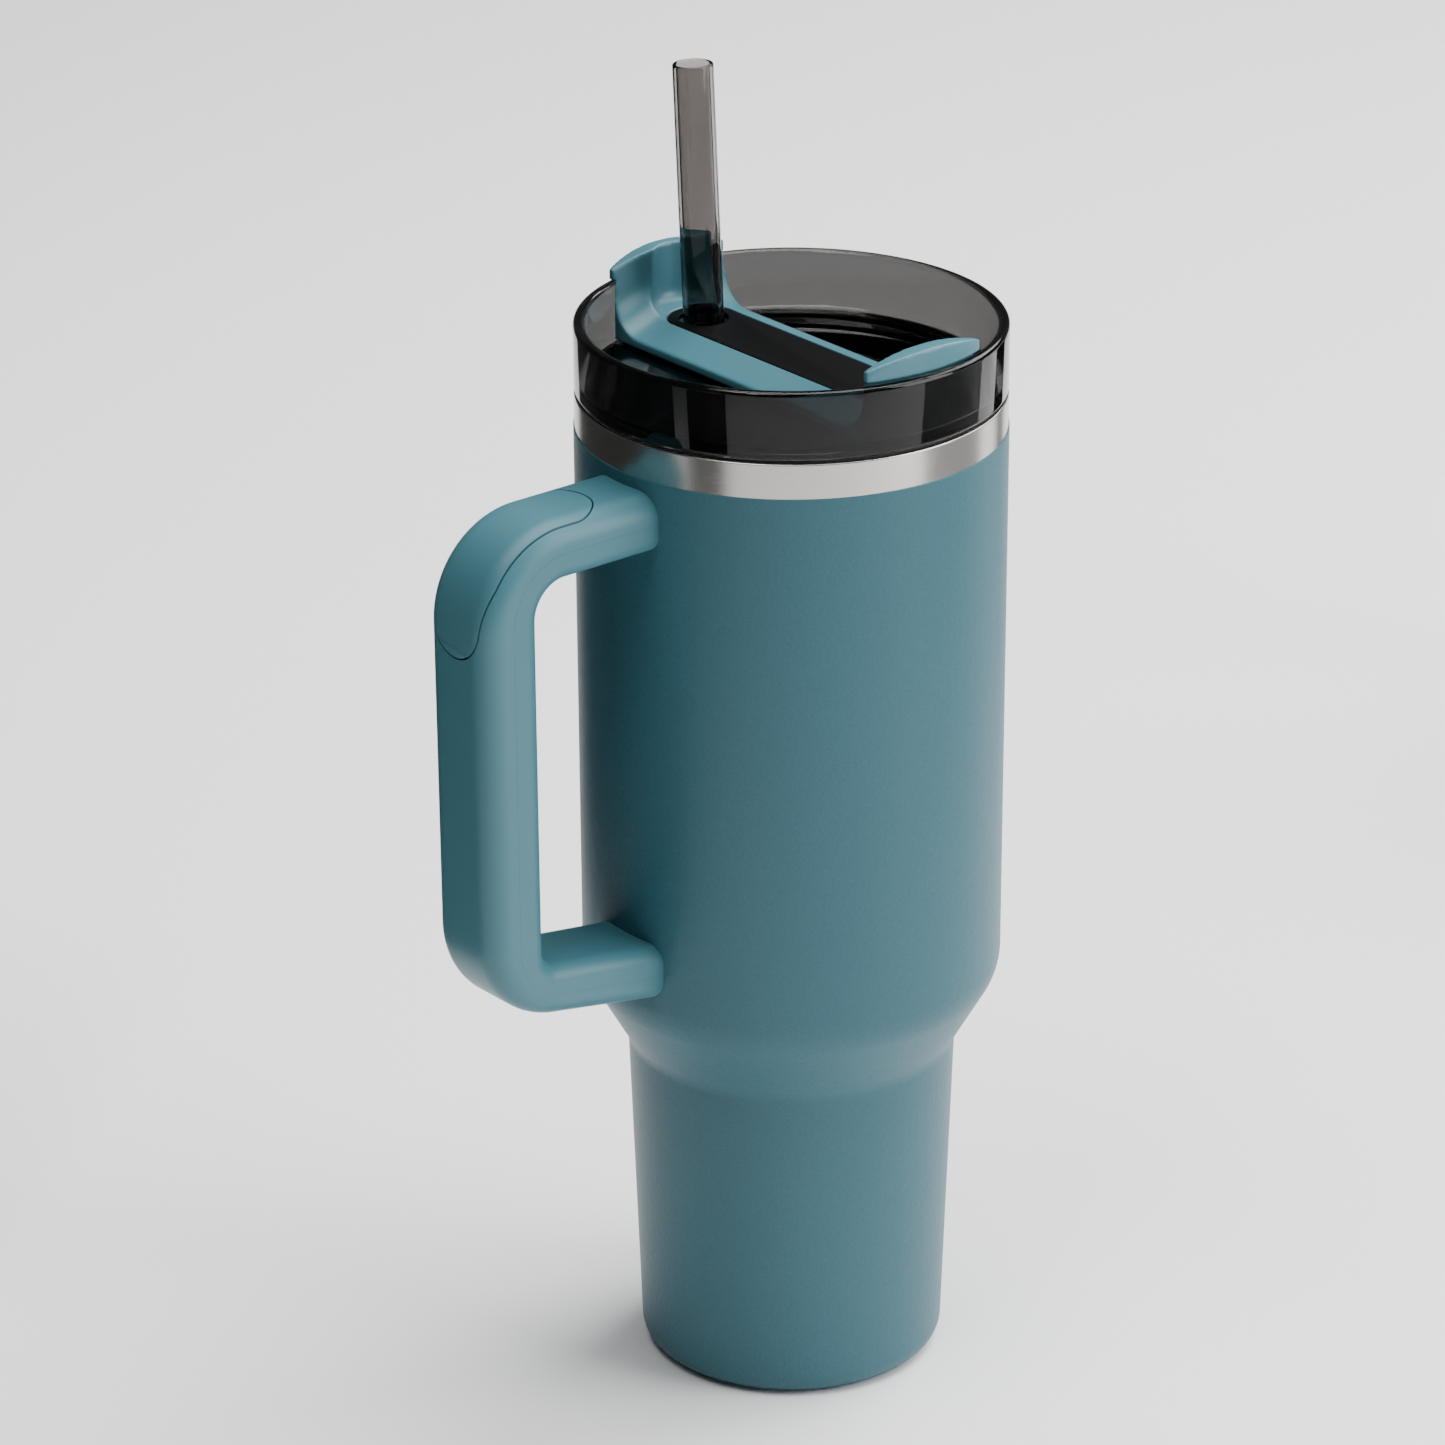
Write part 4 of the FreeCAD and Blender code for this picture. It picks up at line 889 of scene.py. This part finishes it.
class Handle(SubAssembly):
    """Two-piece handle with a soft pad let into its outer shoulder."""

    def __init__(self, wardrobe: Wardrobe, sizes: HandleSizes) -> None:
        """Reads the width that the frame fixes."""
        super().__init__(wardrobe)
        self.sizes = sizes
        self.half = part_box("handle_outer_shell")[1][1]

    def line(self, start: float, rise: float, reach: float) -> float:
        """Height of one of the lower arm's lines at a distance from the axis."""
        return start + rise * (reach - self.sizes.wall_r)

    def path(self, depth: float, share: float) -> list[Corner]:
        """One C-shaped line of the side view.

        Args:
            depth: how far inside the outer surface it lies, in metres.
            share: where it lies across the thickness, from 0 outside to 1 at the fingers.

        Returns:
            Its corners as reach, height and radius.
        """
        size = self.sizes
        reach = size.grip_out - size.grip_thick * share - depth
        low = reach - size.taper * (1 - share / 2)
        start = size.low_z + size.low_thick * share + depth
        rise = size.low_rise - size.low_fall * share
        top = size.arm_top - size.arm_thick * share - depth
        upper = size.outer_round + (size.inner_round - size.outer_round) * share - depth
        lower = size.outer_round + (size.low_inner_round - size.outer_round) * share - depth
        return [(size.root, top, 0.0), (reach, top, upper),
                (low, self.line(start, rise, low), lower),
                (size.root, self.line(start, rise, size.root), 0.0)]

    def half_bar(self, name: str, face: list[Corner], back: list[Corner],
                 inset: float = 0.0) -> bpy.types.Object:
        """One half of the handle: extruded from its side view, with its long edges rounded."""
        size = self.sizes
        face_points = close_spaced(round_corners(face, 24, closed=False), size.stride)
        back_points = close_spaced(round_corners(back, 16, closed=False), size.stride)
        half = self.half - inset
        loop = [Vector((-spot.x, -half, spot.y)) for spot in face_points + back_points[::-1]]
        piece = Bench.extruded(name, loop, Vector((0.0, 2 * half, 0.0)))
        marks = {(round(-spot.x, 5), round(spot.y, 5)) for spot in face_points}
        Bench.bevel(piece, lambda edge: self.is_long(edge, marks, half), size.edge - inset, 12)
        return piece

    @staticmethod
    def is_long(edge: bmesh.types.BMEdge, marks: set[tuple[float, float]], half: float) -> bool:
        """Whether an edge runs along a marked line on one of the handle's sides."""
        return all((round(end.co.x, 5), round(end.co.z, 5)) in marks
                   and abs(abs(end.co.y) - half) < 1e-6 for end in edge.verts) \
            and abs(edge.verts[0].co.y - edge.verts[1].co.y) < 1e-6

    def cup_space(self) -> bpy.types.Object:
        """The space that the cup's wall takes up."""
        size = self.sizes
        low, high = size.wall_low_z, size.wall_high_z
        return Bench.turned("cup_space", [
            Vector((0.0, low)), Vector((size.wall_low_r, low)), Vector((size.wall_r, high)),
            Vector((0.0, high))], closed=False, segments=256)

    def pad_space(self, name: str, grow: float) -> bpy.types.Object:
        """The pad's outline as a solid, seen from above and from the outer side."""
        size = self.sizes
        half = size.pad_half + grow
        far = size.grip_out + 0.01
        high, low = size.pad_space_high, size.pad_space_low
        plan = round_corners([(-far, -half, 0.0), (-size.pad_start + grow, -half, half * 0.999),
                              (-size.pad_start + grow, half, half * 0.999), (-far, half, 0.0)], 20)
        piece = Bench.extruded(name, [Vector((spot.x, spot.y, low)) for spot in plan],
                               Vector((0.0, 0.0, high - low)))
        low_half = size.pad_low_half + grow
        tip = size.pad_low - grow + low_half
        front = [Vector((-half, high)), Vector((-half, size.pad_wide_z))]
        front += [Vector((-low_half * math.cos(turn), tip - low_half * math.sin(turn)))
                  for turn in (math.pi * step / 24 for step in range(25))]
        front += [Vector((half, size.pad_wide_z)), Vector((half, high))]
        other = Bench.extruded(name + "_front", [Vector((-far, spot.x, spot.y)) for spot in front],
                               Vector((far - size.pad_space_in, 0.0, 0.0)))
        return Bench.combine(piece, other, Join.KEEP)

    def core(self, name: str, inset: float) -> bpy.types.Object:
        """The outer half without its surface layer."""
        back = self.path(self.sizes.core_back, 0.5)
        return self.half_bar(name, self.path(inset, 0.0), back, inset)

    def build(self, frame: dict) -> None:
        """Builds both halves and the pad, and dresses the brackets and screws."""
        size = self.sizes
        outer = self.half_bar("handle_outer", self.path(0.0, 0.0), self.path(0.0, 0.5 - size.seam))
        inner = self.half_bar("handle_inner", self.path(0.0, 1.0), self.path(0.0, 0.5 + size.seam))
        space = self.cup_space()
        Bench.combine(outer, space, Join.CUT, keep_other=True)
        Bench.combine(inner, space, Join.CUT)
        pad = Bench.copied(outer, "grip_pad")
        Bench.combine(pad, self.core("pad_core", size.pad_deep), Join.CUT)
        Bench.combine(pad, self.pad_space("pad_space", 0.0), Join.KEEP)
        Bench.apply(pad, "BEVEL", width=size.pad_lip, segments=3, limit_method="ANGLE",
                    angle_limit=math.radians(50))
        seat = self.pad_space("pad_seat", size.pad_gap)
        Bench.combine(seat, self.core("seat_core", size.pad_deep + size.pad_gap), Join.CUT)
        Bench.combine(outer, seat, Join.CUT)
        for piece, finish, slot, node in (
                (outer, Finish.HANDLE, "teal_plastic", "handle_outer_shell"),
                (inner, Finish.HANDLE, "teal_plastic", "handle_inner_shell"),
                (pad, Finish.GRIP, "grip_soft", "grip_insert")):
            Bench.close_up(piece)
            Bench.smooth(piece, 30)
            self.settle(piece, finish, slot, [node])
        self.carry(frame, {"upper_bracket": Finish.STEEL, "lower_bracket": Finish.STEEL,
                           "handle_screws": Finish.STEEL})


@dataclass
class LidSizes:
    """Sizes of the lid that its box doesn't give."""

    ring_t: float = 0.0026
    skirt_r: float = 0.0437
    skirt_t: float = 0.0022
    flange_z: float = 0.2403
    deck_t: float = 0.0023
    rim_round: float = 0.0011
    bore_r: float = 0.00506
    slot_r: float = 0.031
    slot_half: float = 0.006
    slot_swing: float = 16.0
    skirt_round: float = 0.0005
    flange_round: float = 0.0004
    deck_round: float = 0.0012
    bore_round: float = 0.0002
    root_round: float = 0.0008
    slot_over: float = 0.001
    thread_low: float = 0.0014
    thread_rise: float = 0.00115
    thread_sink: float = 0.0004
    thread: Thread = Thread()
    gasket_gap: float = 0.0001
    gasket_slant: float = 0.001
    gasket_inner: float = 0.0003
    gasket_outer: float = 0.0004


class Lid(SubAssembly):
    """Clear lid with its ring, deck and threaded skirt, and the gasket round it."""

    body = "lid"

    def __init__(self, wardrobe: Wardrobe, sizes: LidSizes) -> None:
        """Reads the heights and radius that the frame fixes."""
        super().__init__(wardrobe)
        self.sizes = sizes
        low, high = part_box("lid_body")
        self.low, self.high, self.ring_r = low[2], high[2], high[0]

    def slot(self, name: str, low: float, high: float) -> bpy.types.Object:
        """A solid in the shape of the drink opening."""
        size = self.sizes
        swing = math.radians(size.slot_swing)
        points = []
        for turns in (1, -1):
            radius = size.slot_r + turns * size.slot_half
            for step in range(21):
                angle = math.pi / 2 + turns * swing * (step / 10 - 1)
                points.append(Vector((radius * math.cos(angle), radius * math.sin(angle), low)))
            end = math.pi / 2 + turns * swing
            centre = Vector((size.slot_r * math.cos(end), size.slot_r * math.sin(end), low))
            first = end if turns > 0 else end + math.pi
            for step in range(1, 12):
                angle = first + math.pi * step / 12
                points.append(centre + Vector((size.slot_half * math.cos(angle),
                                               size.slot_half * math.sin(angle), 0.0)))
        return Bench.extruded(name, points, Vector((0.0, 0.0, high - low)))

    def moulding(self) -> bpy.types.Object:
        """The clear moulding."""
        size = self.sizes
        deck = size.flange_z + size.deck_t
        inner = self.ring_r - size.ring_t
        skirt_in = size.skirt_r - size.skirt_t
        corners = [(skirt_in, self.low, size.skirt_round),
                   (size.skirt_r, self.low, size.skirt_round),
                   (size.skirt_r, size.flange_z, size.flange_round),
                   (self.ring_r, size.flange_z, size.rim_round),
                   (self.ring_r, self.high, size.rim_round), (inner, self.high, size.rim_round),
                   (inner, deck, size.deck_round), (size.bore_r, deck, size.bore_round),
                   (size.bore_r, size.flange_z, size.bore_round),
                   (skirt_in, size.flange_z, size.root_round)]
        piece = Bench.turned("clear_lid", round_corners(corners, 8), segments=256)
        Bench.combine(piece, self.slot("slot_space", size.flange_z - size.slot_over,
                                       deck + size.slot_over), Join.CUT)
        size.thread.cut_on(piece, size.skirt_r, size.thread_rise, size.thread_sink,
                           self.low + size.thread_low)
        Bench.close_up(piece)
        return self.settle(Bench.smooth(piece, 35), Finish.SMOKE, "smoke_clear", ["lid_body"])

    def gasket(self) -> bpy.types.Object:
        """The soft ring under the flange."""
        low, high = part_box("lid_gasket")
        size = self.sizes
        inner = size.skirt_r + size.gasket_gap
        inside, outside, slant = size.gasket_inner, size.gasket_outer, size.gasket_slant
        corners = [(inner, low[2], inside), (high[0] - slant, low[2], outside),
                   (high[0], low[2] + slant, outside), (high[0], high[2], outside),
                   (inner, high[2], inside)]
        piece = Bench.turned("gasket_ring", round_corners(corners, 5))
        return self.settle(Bench.smooth(piece), Finish.SEAL, "silicone", ["lid_gasket"], "gasket")

    def build(self) -> None:
        """Builds the lid."""
        self.moulding()
        self.gasket()


@dataclass
class CoverSizes:
    """Sizes of the turning cover."""

    low: float = 0.2430
    top: float = 0.2480
    half: float = 0.0164
    strip_half: float = 0.0084
    edge: float = 0.0020
    inner_r: float = 0.0461
    lip_r: float = 0.0478
    lip_z: float = 0.2570
    tab_top: float = 0.2623
    tab_face: float = 0.0420
    tab_lean: float = 0.0015
    tab_round: float = 0.0080
    lip_drop: float = 0.0026
    scoop_r: float = 0.0086
    scoop_y: float = 0.0360
    scoop_round: float = 0.0030
    hole_r: float = 0.0057
    hole_y: float = 0.0310
    insert_t: float = 0.0012
    insert_gap: float = 0.00025
    insert_round: float = 0.00035
    over: float = 0.002
    middle_over: float = 0.0002
    space_low: float = 0.24
    space_high: float = 0.28
    arch_reach: float = 0.06
    arch_half: float = 0.03
    arch_share: float = 1.3
    voxel: float = 0.00040
    relax: int = 7


class Cover(SubAssembly):
    """Turning cover with a thumb tab at each end and a dark strip along its top."""

    body = "cover"

    def __init__(self, wardrobe: Wardrobe, sizes: CoverSizes) -> None:
        """Keeps the sizes."""
        super().__init__(wardrobe)
        self.sizes = sizes

    def block(self) -> bpy.types.Object:
        """The cover before it is hollowed: a bar as tall as its tabs."""
        size = self.sizes
        far = size.lip_r + size.over
        side = [Vector((-size.half, along, up)) for along, up in (
            (-far, size.low), (far, size.low), (far, size.tab_top), (-far, size.tab_top))]
        return Bench.extruded("cover_block", side, Vector((2 * size.half, 0.0, 0.0)))

    def hollow(self, name: str, start: float, move: Vector) -> bpy.types.Object:
        """The space between the tabs, in side view, extruded level or down the border's slope."""
        size = self.sizes
        lean = size.tab_lean * 2
        reach = size.tab_face
        high = size.tab_top + (size.tab_top - size.top)
        corners = [(reach, size.top, size.tab_round), (reach + lean, high, 0.0),
                   (-reach - lean, high, 0.0), (-reach, size.top, size.tab_round)]
        return Bench.extruded(name, [Vector((start, spot.x, spot.y))
                                     for spot in round_corners(corners, 16)], move)

    def envelope(self) -> bpy.types.Object:
        """The space inside the ring, wider above its rim."""
        size = self.sizes
        low, high = size.space_low, size.space_high
        return Bench.turned("cover_space", [
            Vector((0.0, low)), Vector((size.inner_r, low)), Vector((size.inner_r, size.lip_z)),
            Vector((size.lip_r, size.lip_z)), Vector((size.lip_r, high)), Vector((0.0, high))],
            closed=False)

    def arch(self) -> bpy.types.Object:
        """What is cut away above the arched tops of the tabs."""
        size = self.sizes
        radius = (size.half ** 2 + size.lip_drop ** 2) / (2 * size.lip_drop)
        swing = math.asin(size.half * size.arch_share / radius)
        reach, half, high = size.arch_reach, size.arch_half, size.space_high
        points = [Vector((radius * math.sin(turn), -reach, size.tab_top - radius
                          + radius * math.cos(turn)))
                  for turn in (swing * (step / 10 - 1) for step in range(21))]
        points += [Vector((half, -reach, high)), Vector((-half, -reach, high))]
        return Bench.extruded("arch_space", points, Vector((0.0, 2 * reach, 0.0)))

    @staticmethod
    def post(name: str, y: float, radius: float, low: float, high: float) -> bpy.types.Object:
        """An upright round post, used as a cutter."""
        Bench.clear()
        bpy.ops.mesh.primitive_cylinder_add(vertices=96, radius=radius, depth=high - low,
                                            location=(0.0, y, (low + high) / 2))
        piece = bpy.context.object
        piece.name = name
        return Bench.close_up(piece)

    def strip_outline(self, half: float, low: float) -> list[Vector]:
        """Outline of the dark strip, round about the straw hole."""
        size = self.sizes
        turns = (math.pi * step / 24 for step in range(25))
        round_end = [Vector((half * math.cos(turn), size.hole_y + half * math.sin(turn), low))
                     for turn in turns]
        far = -size.tab_face
        return [Vector((-half, far, low)), Vector((half, far, low))] + round_end

    def moulding(self) -> bpy.types.Object:
        """The teal moulding."""
        size = self.sizes
        piece = self.block()
        slope = (size.top - size.low - size.edge) / (size.half - size.strip_half)
        middle = size.strip_half + size.middle_over
        Bench.combine(piece, self.hollow("middle_space", -middle, Vector((2 * middle, 0.0, 0.0))),
                      Join.CUT)
        for sign in (1, -1):
            out = size.half - size.strip_half + size.over
            Bench.combine(piece, self.hollow("border_space", sign * size.strip_half,
                                             Vector((sign * out, 0.0, -slope * out))), Join.CUT)
        Bench.combine(piece, self.envelope(), Join.KEEP)
        Bench.combine(piece, self.arch(), Join.CUT)
        scoop = self.post("scoop", size.scoop_y, size.scoop_r, size.top, size.space_high)
        Bench.bevel(scoop, lambda edge: all(abs(end.co.z - size.top) < 1e-6 for end in edge.verts),
                    size.scoop_round, 10)
        Bench.combine(piece, scoop, Join.CUT)
        seat_low = size.top - size.insert_t
        seat = Bench.extruded("strip_seat", self.strip_outline(size.strip_half, seat_low),
                              Vector((0.0, 0.0, size.insert_t + size.tab_round)))
        Bench.combine(piece, seat, Join.CUT)
        Bench.combine(piece, self.post("hole", size.hole_y, size.hole_r, size.space_low,
                                       size.top + size.over), Join.CUT)
        Bench.apply(piece, "REMESH", mode="VOXEL", voxel_size=size.voxel, use_smooth_shade=True)
        Bench.apply(piece, "SMOOTH", factor=0.5, iterations=size.relax)
        piece.name = piece.data.name = "turning_cover"
        return self.settle(Bench.smooth(piece, 60), Finish.COVER, "teal_plastic",
                           ["rotating_cover"])

    def strip(self) -> bpy.types.Object:
        """The dark strip, plain, with soft edges."""
        size = self.sizes
        low = size.top - size.insert_t
        outline = self.strip_outline(size.strip_half - size.insert_gap, low)
        piece = Bench.extruded("dark_strip", outline, Vector((0.0, 0.0, size.insert_t)))
        Bench.combine(piece, self.post("strip_hole", size.hole_y, size.hole_r, low - size.over,
                                       size.top + size.over), Join.CUT)
        Bench.bevel(piece, lambda edge: all(abs(end.co.z - size.top) < 1e-6 for end in edge.verts)
                    and len(edge.link_faces) == 2 and edge.calc_face_angle(0.0) > 1.0,
                    size.insert_round, 4)
        Bench.close_up(piece)
        return self.settle(Bench.smooth(piece, 35), Finish.BLACK, "black_plastic",
                           ["cover_insert"])

    def build(self, frame: dict) -> None:
        """Builds the cover and dresses the pieces under it."""
        self.moulding()
        self.strip()
        self.carry(frame, {"straw_seal": Finish.SEAL, "closing_pad": Finish.SEAL,
                           "hub_seal": Finish.SEAL, "retaining_washer": Finish.STEEL,
                           "pivot_screw": Finish.STEEL})


@dataclass
class StrawSizes:
    """Sizes of the straw."""

    radius: float = 0.0047
    wall: float = 0.0010
    lean: float = 3.2
    deck: Vector = field(default_factory=lambda: Vector((0.0, 0.031, 0.248)))
    low: float = 0.0140
    top: float = 0.3075
    low_round: float = 0.0004
    top_round: float = 0.00045


class Straw(SubAssembly):
    """Leaning clear straw."""

    body = "straw_tube"

    def __init__(self, wardrobe: Wardrobe, sizes: StrawSizes) -> None:
        """Keeps the sizes."""
        super().__init__(wardrobe)
        self.sizes = sizes

    def build(self) -> bpy.types.Object:
        """Builds the straw upright and leans it."""
        size = self.sizes
        lean = math.radians(size.lean)
        length = (size.top - size.low) / math.cos(lean)
        inner = size.radius - size.wall
        corners = [(inner, 0.0, size.low_round), (size.radius, 0.0, size.low_round),
                   (size.radius, length, size.top_round), (inner, length, size.top_round)]
        piece = Bench.turned("clear_straw", round_corners(corners, 5), segments=64)
        piece.rotation_euler = Euler((-lean, 0.0, 0.0))
        piece.location = size.deck - Vector((0.0, math.tan(lean), 1.0)) * (size.deck.z - size.low)
        Bench.pick(piece)
        bpy.ops.object.transform_apply(location=True, rotation=True, scale=True)
        return self.settle(Bench.smooth(piece), Finish.STRAW, "straw_clear", ["straw"])


# ------------------------------------------------------------------ stage


@dataclass
class Light:
    """One soft box: where it stands, its size, its power and its colour."""

    name: str
    place: tuple[float, float, float]
    size: tuple[float, float]
    power: float
    colour: Colour = (1.0, 1.0, 1.0)


@dataclass
class Card:
    """One dark or grey card that stands beside the object and that the camera doesn't see.

    Its swing is its azimuth from the camera's, and its tone is how pale it is.
    """

    name: str
    swing: float
    distance: float
    width: float
    low: float
    high: float
    tone: float = 0.012
    shadow: bool = True


@dataclass
class Studio:
    """Floor, soft boxes, dark cards and camera."""

    azimuth: float = -40.2
    elevation: float = 23.42
    distance: float = 1.414
    aim: Vector = field(default_factory=lambda: Vector((0.0, 0.0, 0.1576)))
    lens: float = 153.04
    shift: float = -0.0477
    world: float = 0.09

    def toward(self, azimuth: float, elevation: float) -> Vector:
        """Direction from the object to a camera at an azimuth and elevation."""
        turn, rise = math.radians(azimuth), math.radians(elevation)
        return Vector((math.sin(turn) * math.cos(rise), -math.cos(turn) * math.cos(rise),
                       math.sin(rise)))

    def camera(self) -> None:
        """Makes the camera."""
        data = bpy.data.cameras.new("view")
        camera = bpy.data.objects.new("view", data)
        bpy.context.scene.collection.objects.link(camera)
        back = self.toward(self.azimuth, self.elevation)
        camera.location = self.aim + back * self.distance
        camera.rotation_euler = back.to_track_quat("Z", "Y").to_euler()
        data.lens = self.lens
        data.sensor_width = 36.0
        data.shift_x = self.shift
        data.clip_start, data.clip_end = 0.01, 50.0
        bpy.context.scene.camera = camera

    def floor(self) -> None:
        """Makes the pale floor."""
        Bench.clear()
        bpy.ops.mesh.primitive_plane_add(size=14.0, location=(0.0, 0.0, 0.0))
        floor = bpy.context.object
        floor.name = "floor"
        shader = Shader("pale_floor")
        cloud = shader.noise(shader.place(), 1.5, 2.0)
        colour = shader.blend(cloud, (0.95, 0.95, 0.95), (0.975, 0.975, 0.975))
        floor.data.materials.append(shader.finish(Base_Color=colour, Roughness=0.7,
                                                  Specular_IOR_Level=0.1))

    def stand(self, card: Card) -> None:
        """Stands one card facing the object."""
        Bench.clear()
        azimuth = self.azimuth + card.swing
        place = self.toward(azimuth, 0.0) * card.distance
        place.z = (card.low + card.high) / 2
        bpy.ops.mesh.primitive_plane_add(size=1.0, location=place,
                                         rotation=(math.pi / 2, 0.0, math.radians(azimuth)))
        plane = bpy.context.object
        plane.name = card.name
        plane.scale = (card.width, card.high - card.low, 1.0)
        bpy.ops.object.transform_apply(location=True, rotation=True, scale=True)
        shader = Shader(card.name)
        fleck = shader.noise(shader.place(), 30.0)
        grey = (card.tone,) * 3
        plane.data.materials.append(shader.finish(
            Base_Color=shader.blend(fleck, shade(grey, 0.85), shade(grey, 1.15)), Roughness=0.9))
        plane.visible_camera = False
        plane.visible_shadow = card.shadow

    def lamp(self, light: Light) -> None:
        """Hangs one soft box, facing the object."""
        data = bpy.data.lights.new(light.name, "AREA")
        data.shape = "RECTANGLE"
        data.size, data.size_y = light.size
        data.energy = light.power
        data.color = light.colour
        lamp = bpy.data.objects.new(light.name, data)
        bpy.context.scene.collection.objects.link(lamp)
        lamp.location = light.place
        lamp.rotation_euler = (Vector(light.place) - self.aim).to_track_quat("Z", "Y").to_euler()

    def sky(self) -> None:
        """Gives the room its dim even light."""
        world = bpy.data.worlds.new("room")
        bpy.context.scene.world = world
        world.use_nodes = True
        background = world.node_tree.nodes["Background"]
        background.inputs["Color"].default_value = (0.95, 0.97, 1.0, 1.0)
        background.inputs["Strength"].default_value = self.world

    def build(self) -> None:
        """Sets up the whole studio."""
        self.floor()
        self.sky()
        self.camera()
        for card in (Card("close_left_card", -100.0, 0.19, 0.34, 0.02, 0.34, shadow=False),
                     Card("left_card", -112.0, 0.53, 0.72, 0.0, 1.0),
                     Card("raised_card", -62.0, 0.62, 0.80, 0.20, 1.3),
                     Card("near_left_card", -43.0, 0.52, 0.19, 0.0, 0.17),
                     Card("right_card", 92.0, 0.50, 0.40, 0.0, 0.17, tone=0.45),
                     Card("far_right_card", 138.0, 0.48, 0.12, 0.0, 0.17)):
            self.stand(card)
        right = self.toward(self.azimuth + 74.0, 28.0)
        front = self.toward(self.azimuth - 42.0, 66.0)
        back = self.toward(self.azimuth + 132.0, 44.0)
        for light in (Light("key", tuple(right * 1.7), (0.9, 1.4), 29.0),
                      Light("overhead", (0.45, -0.1, 2.1), (1.5, 1.5), 54.0),
                      Light("front", tuple(front * 1.9), (0.8, 0.8), 20.0),
                      Light("rear", tuple(back * 2.0), (1.4, 1.0), 34.0)):
            self.lamp(light)


def main() -> None:
    """Builds the object and its studio."""
    logging.basicConfig(level=logging.INFO, format="%(name)s: %(message)s")
    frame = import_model()
    Studio().build()
    wardrobe = Wardrobe()
    Cup(wardrobe, CupSizes()).build(frame)
    Handle(wardrobe, HandleSizes()).build(frame)
    Lid(wardrobe, LidSizes()).build()
    Cover(wardrobe, CoverSizes()).build(frame)
    Straw(wardrobe, StrawSizes()).build()
    Bench.clear()


if __name__ == "__main__":
    main()
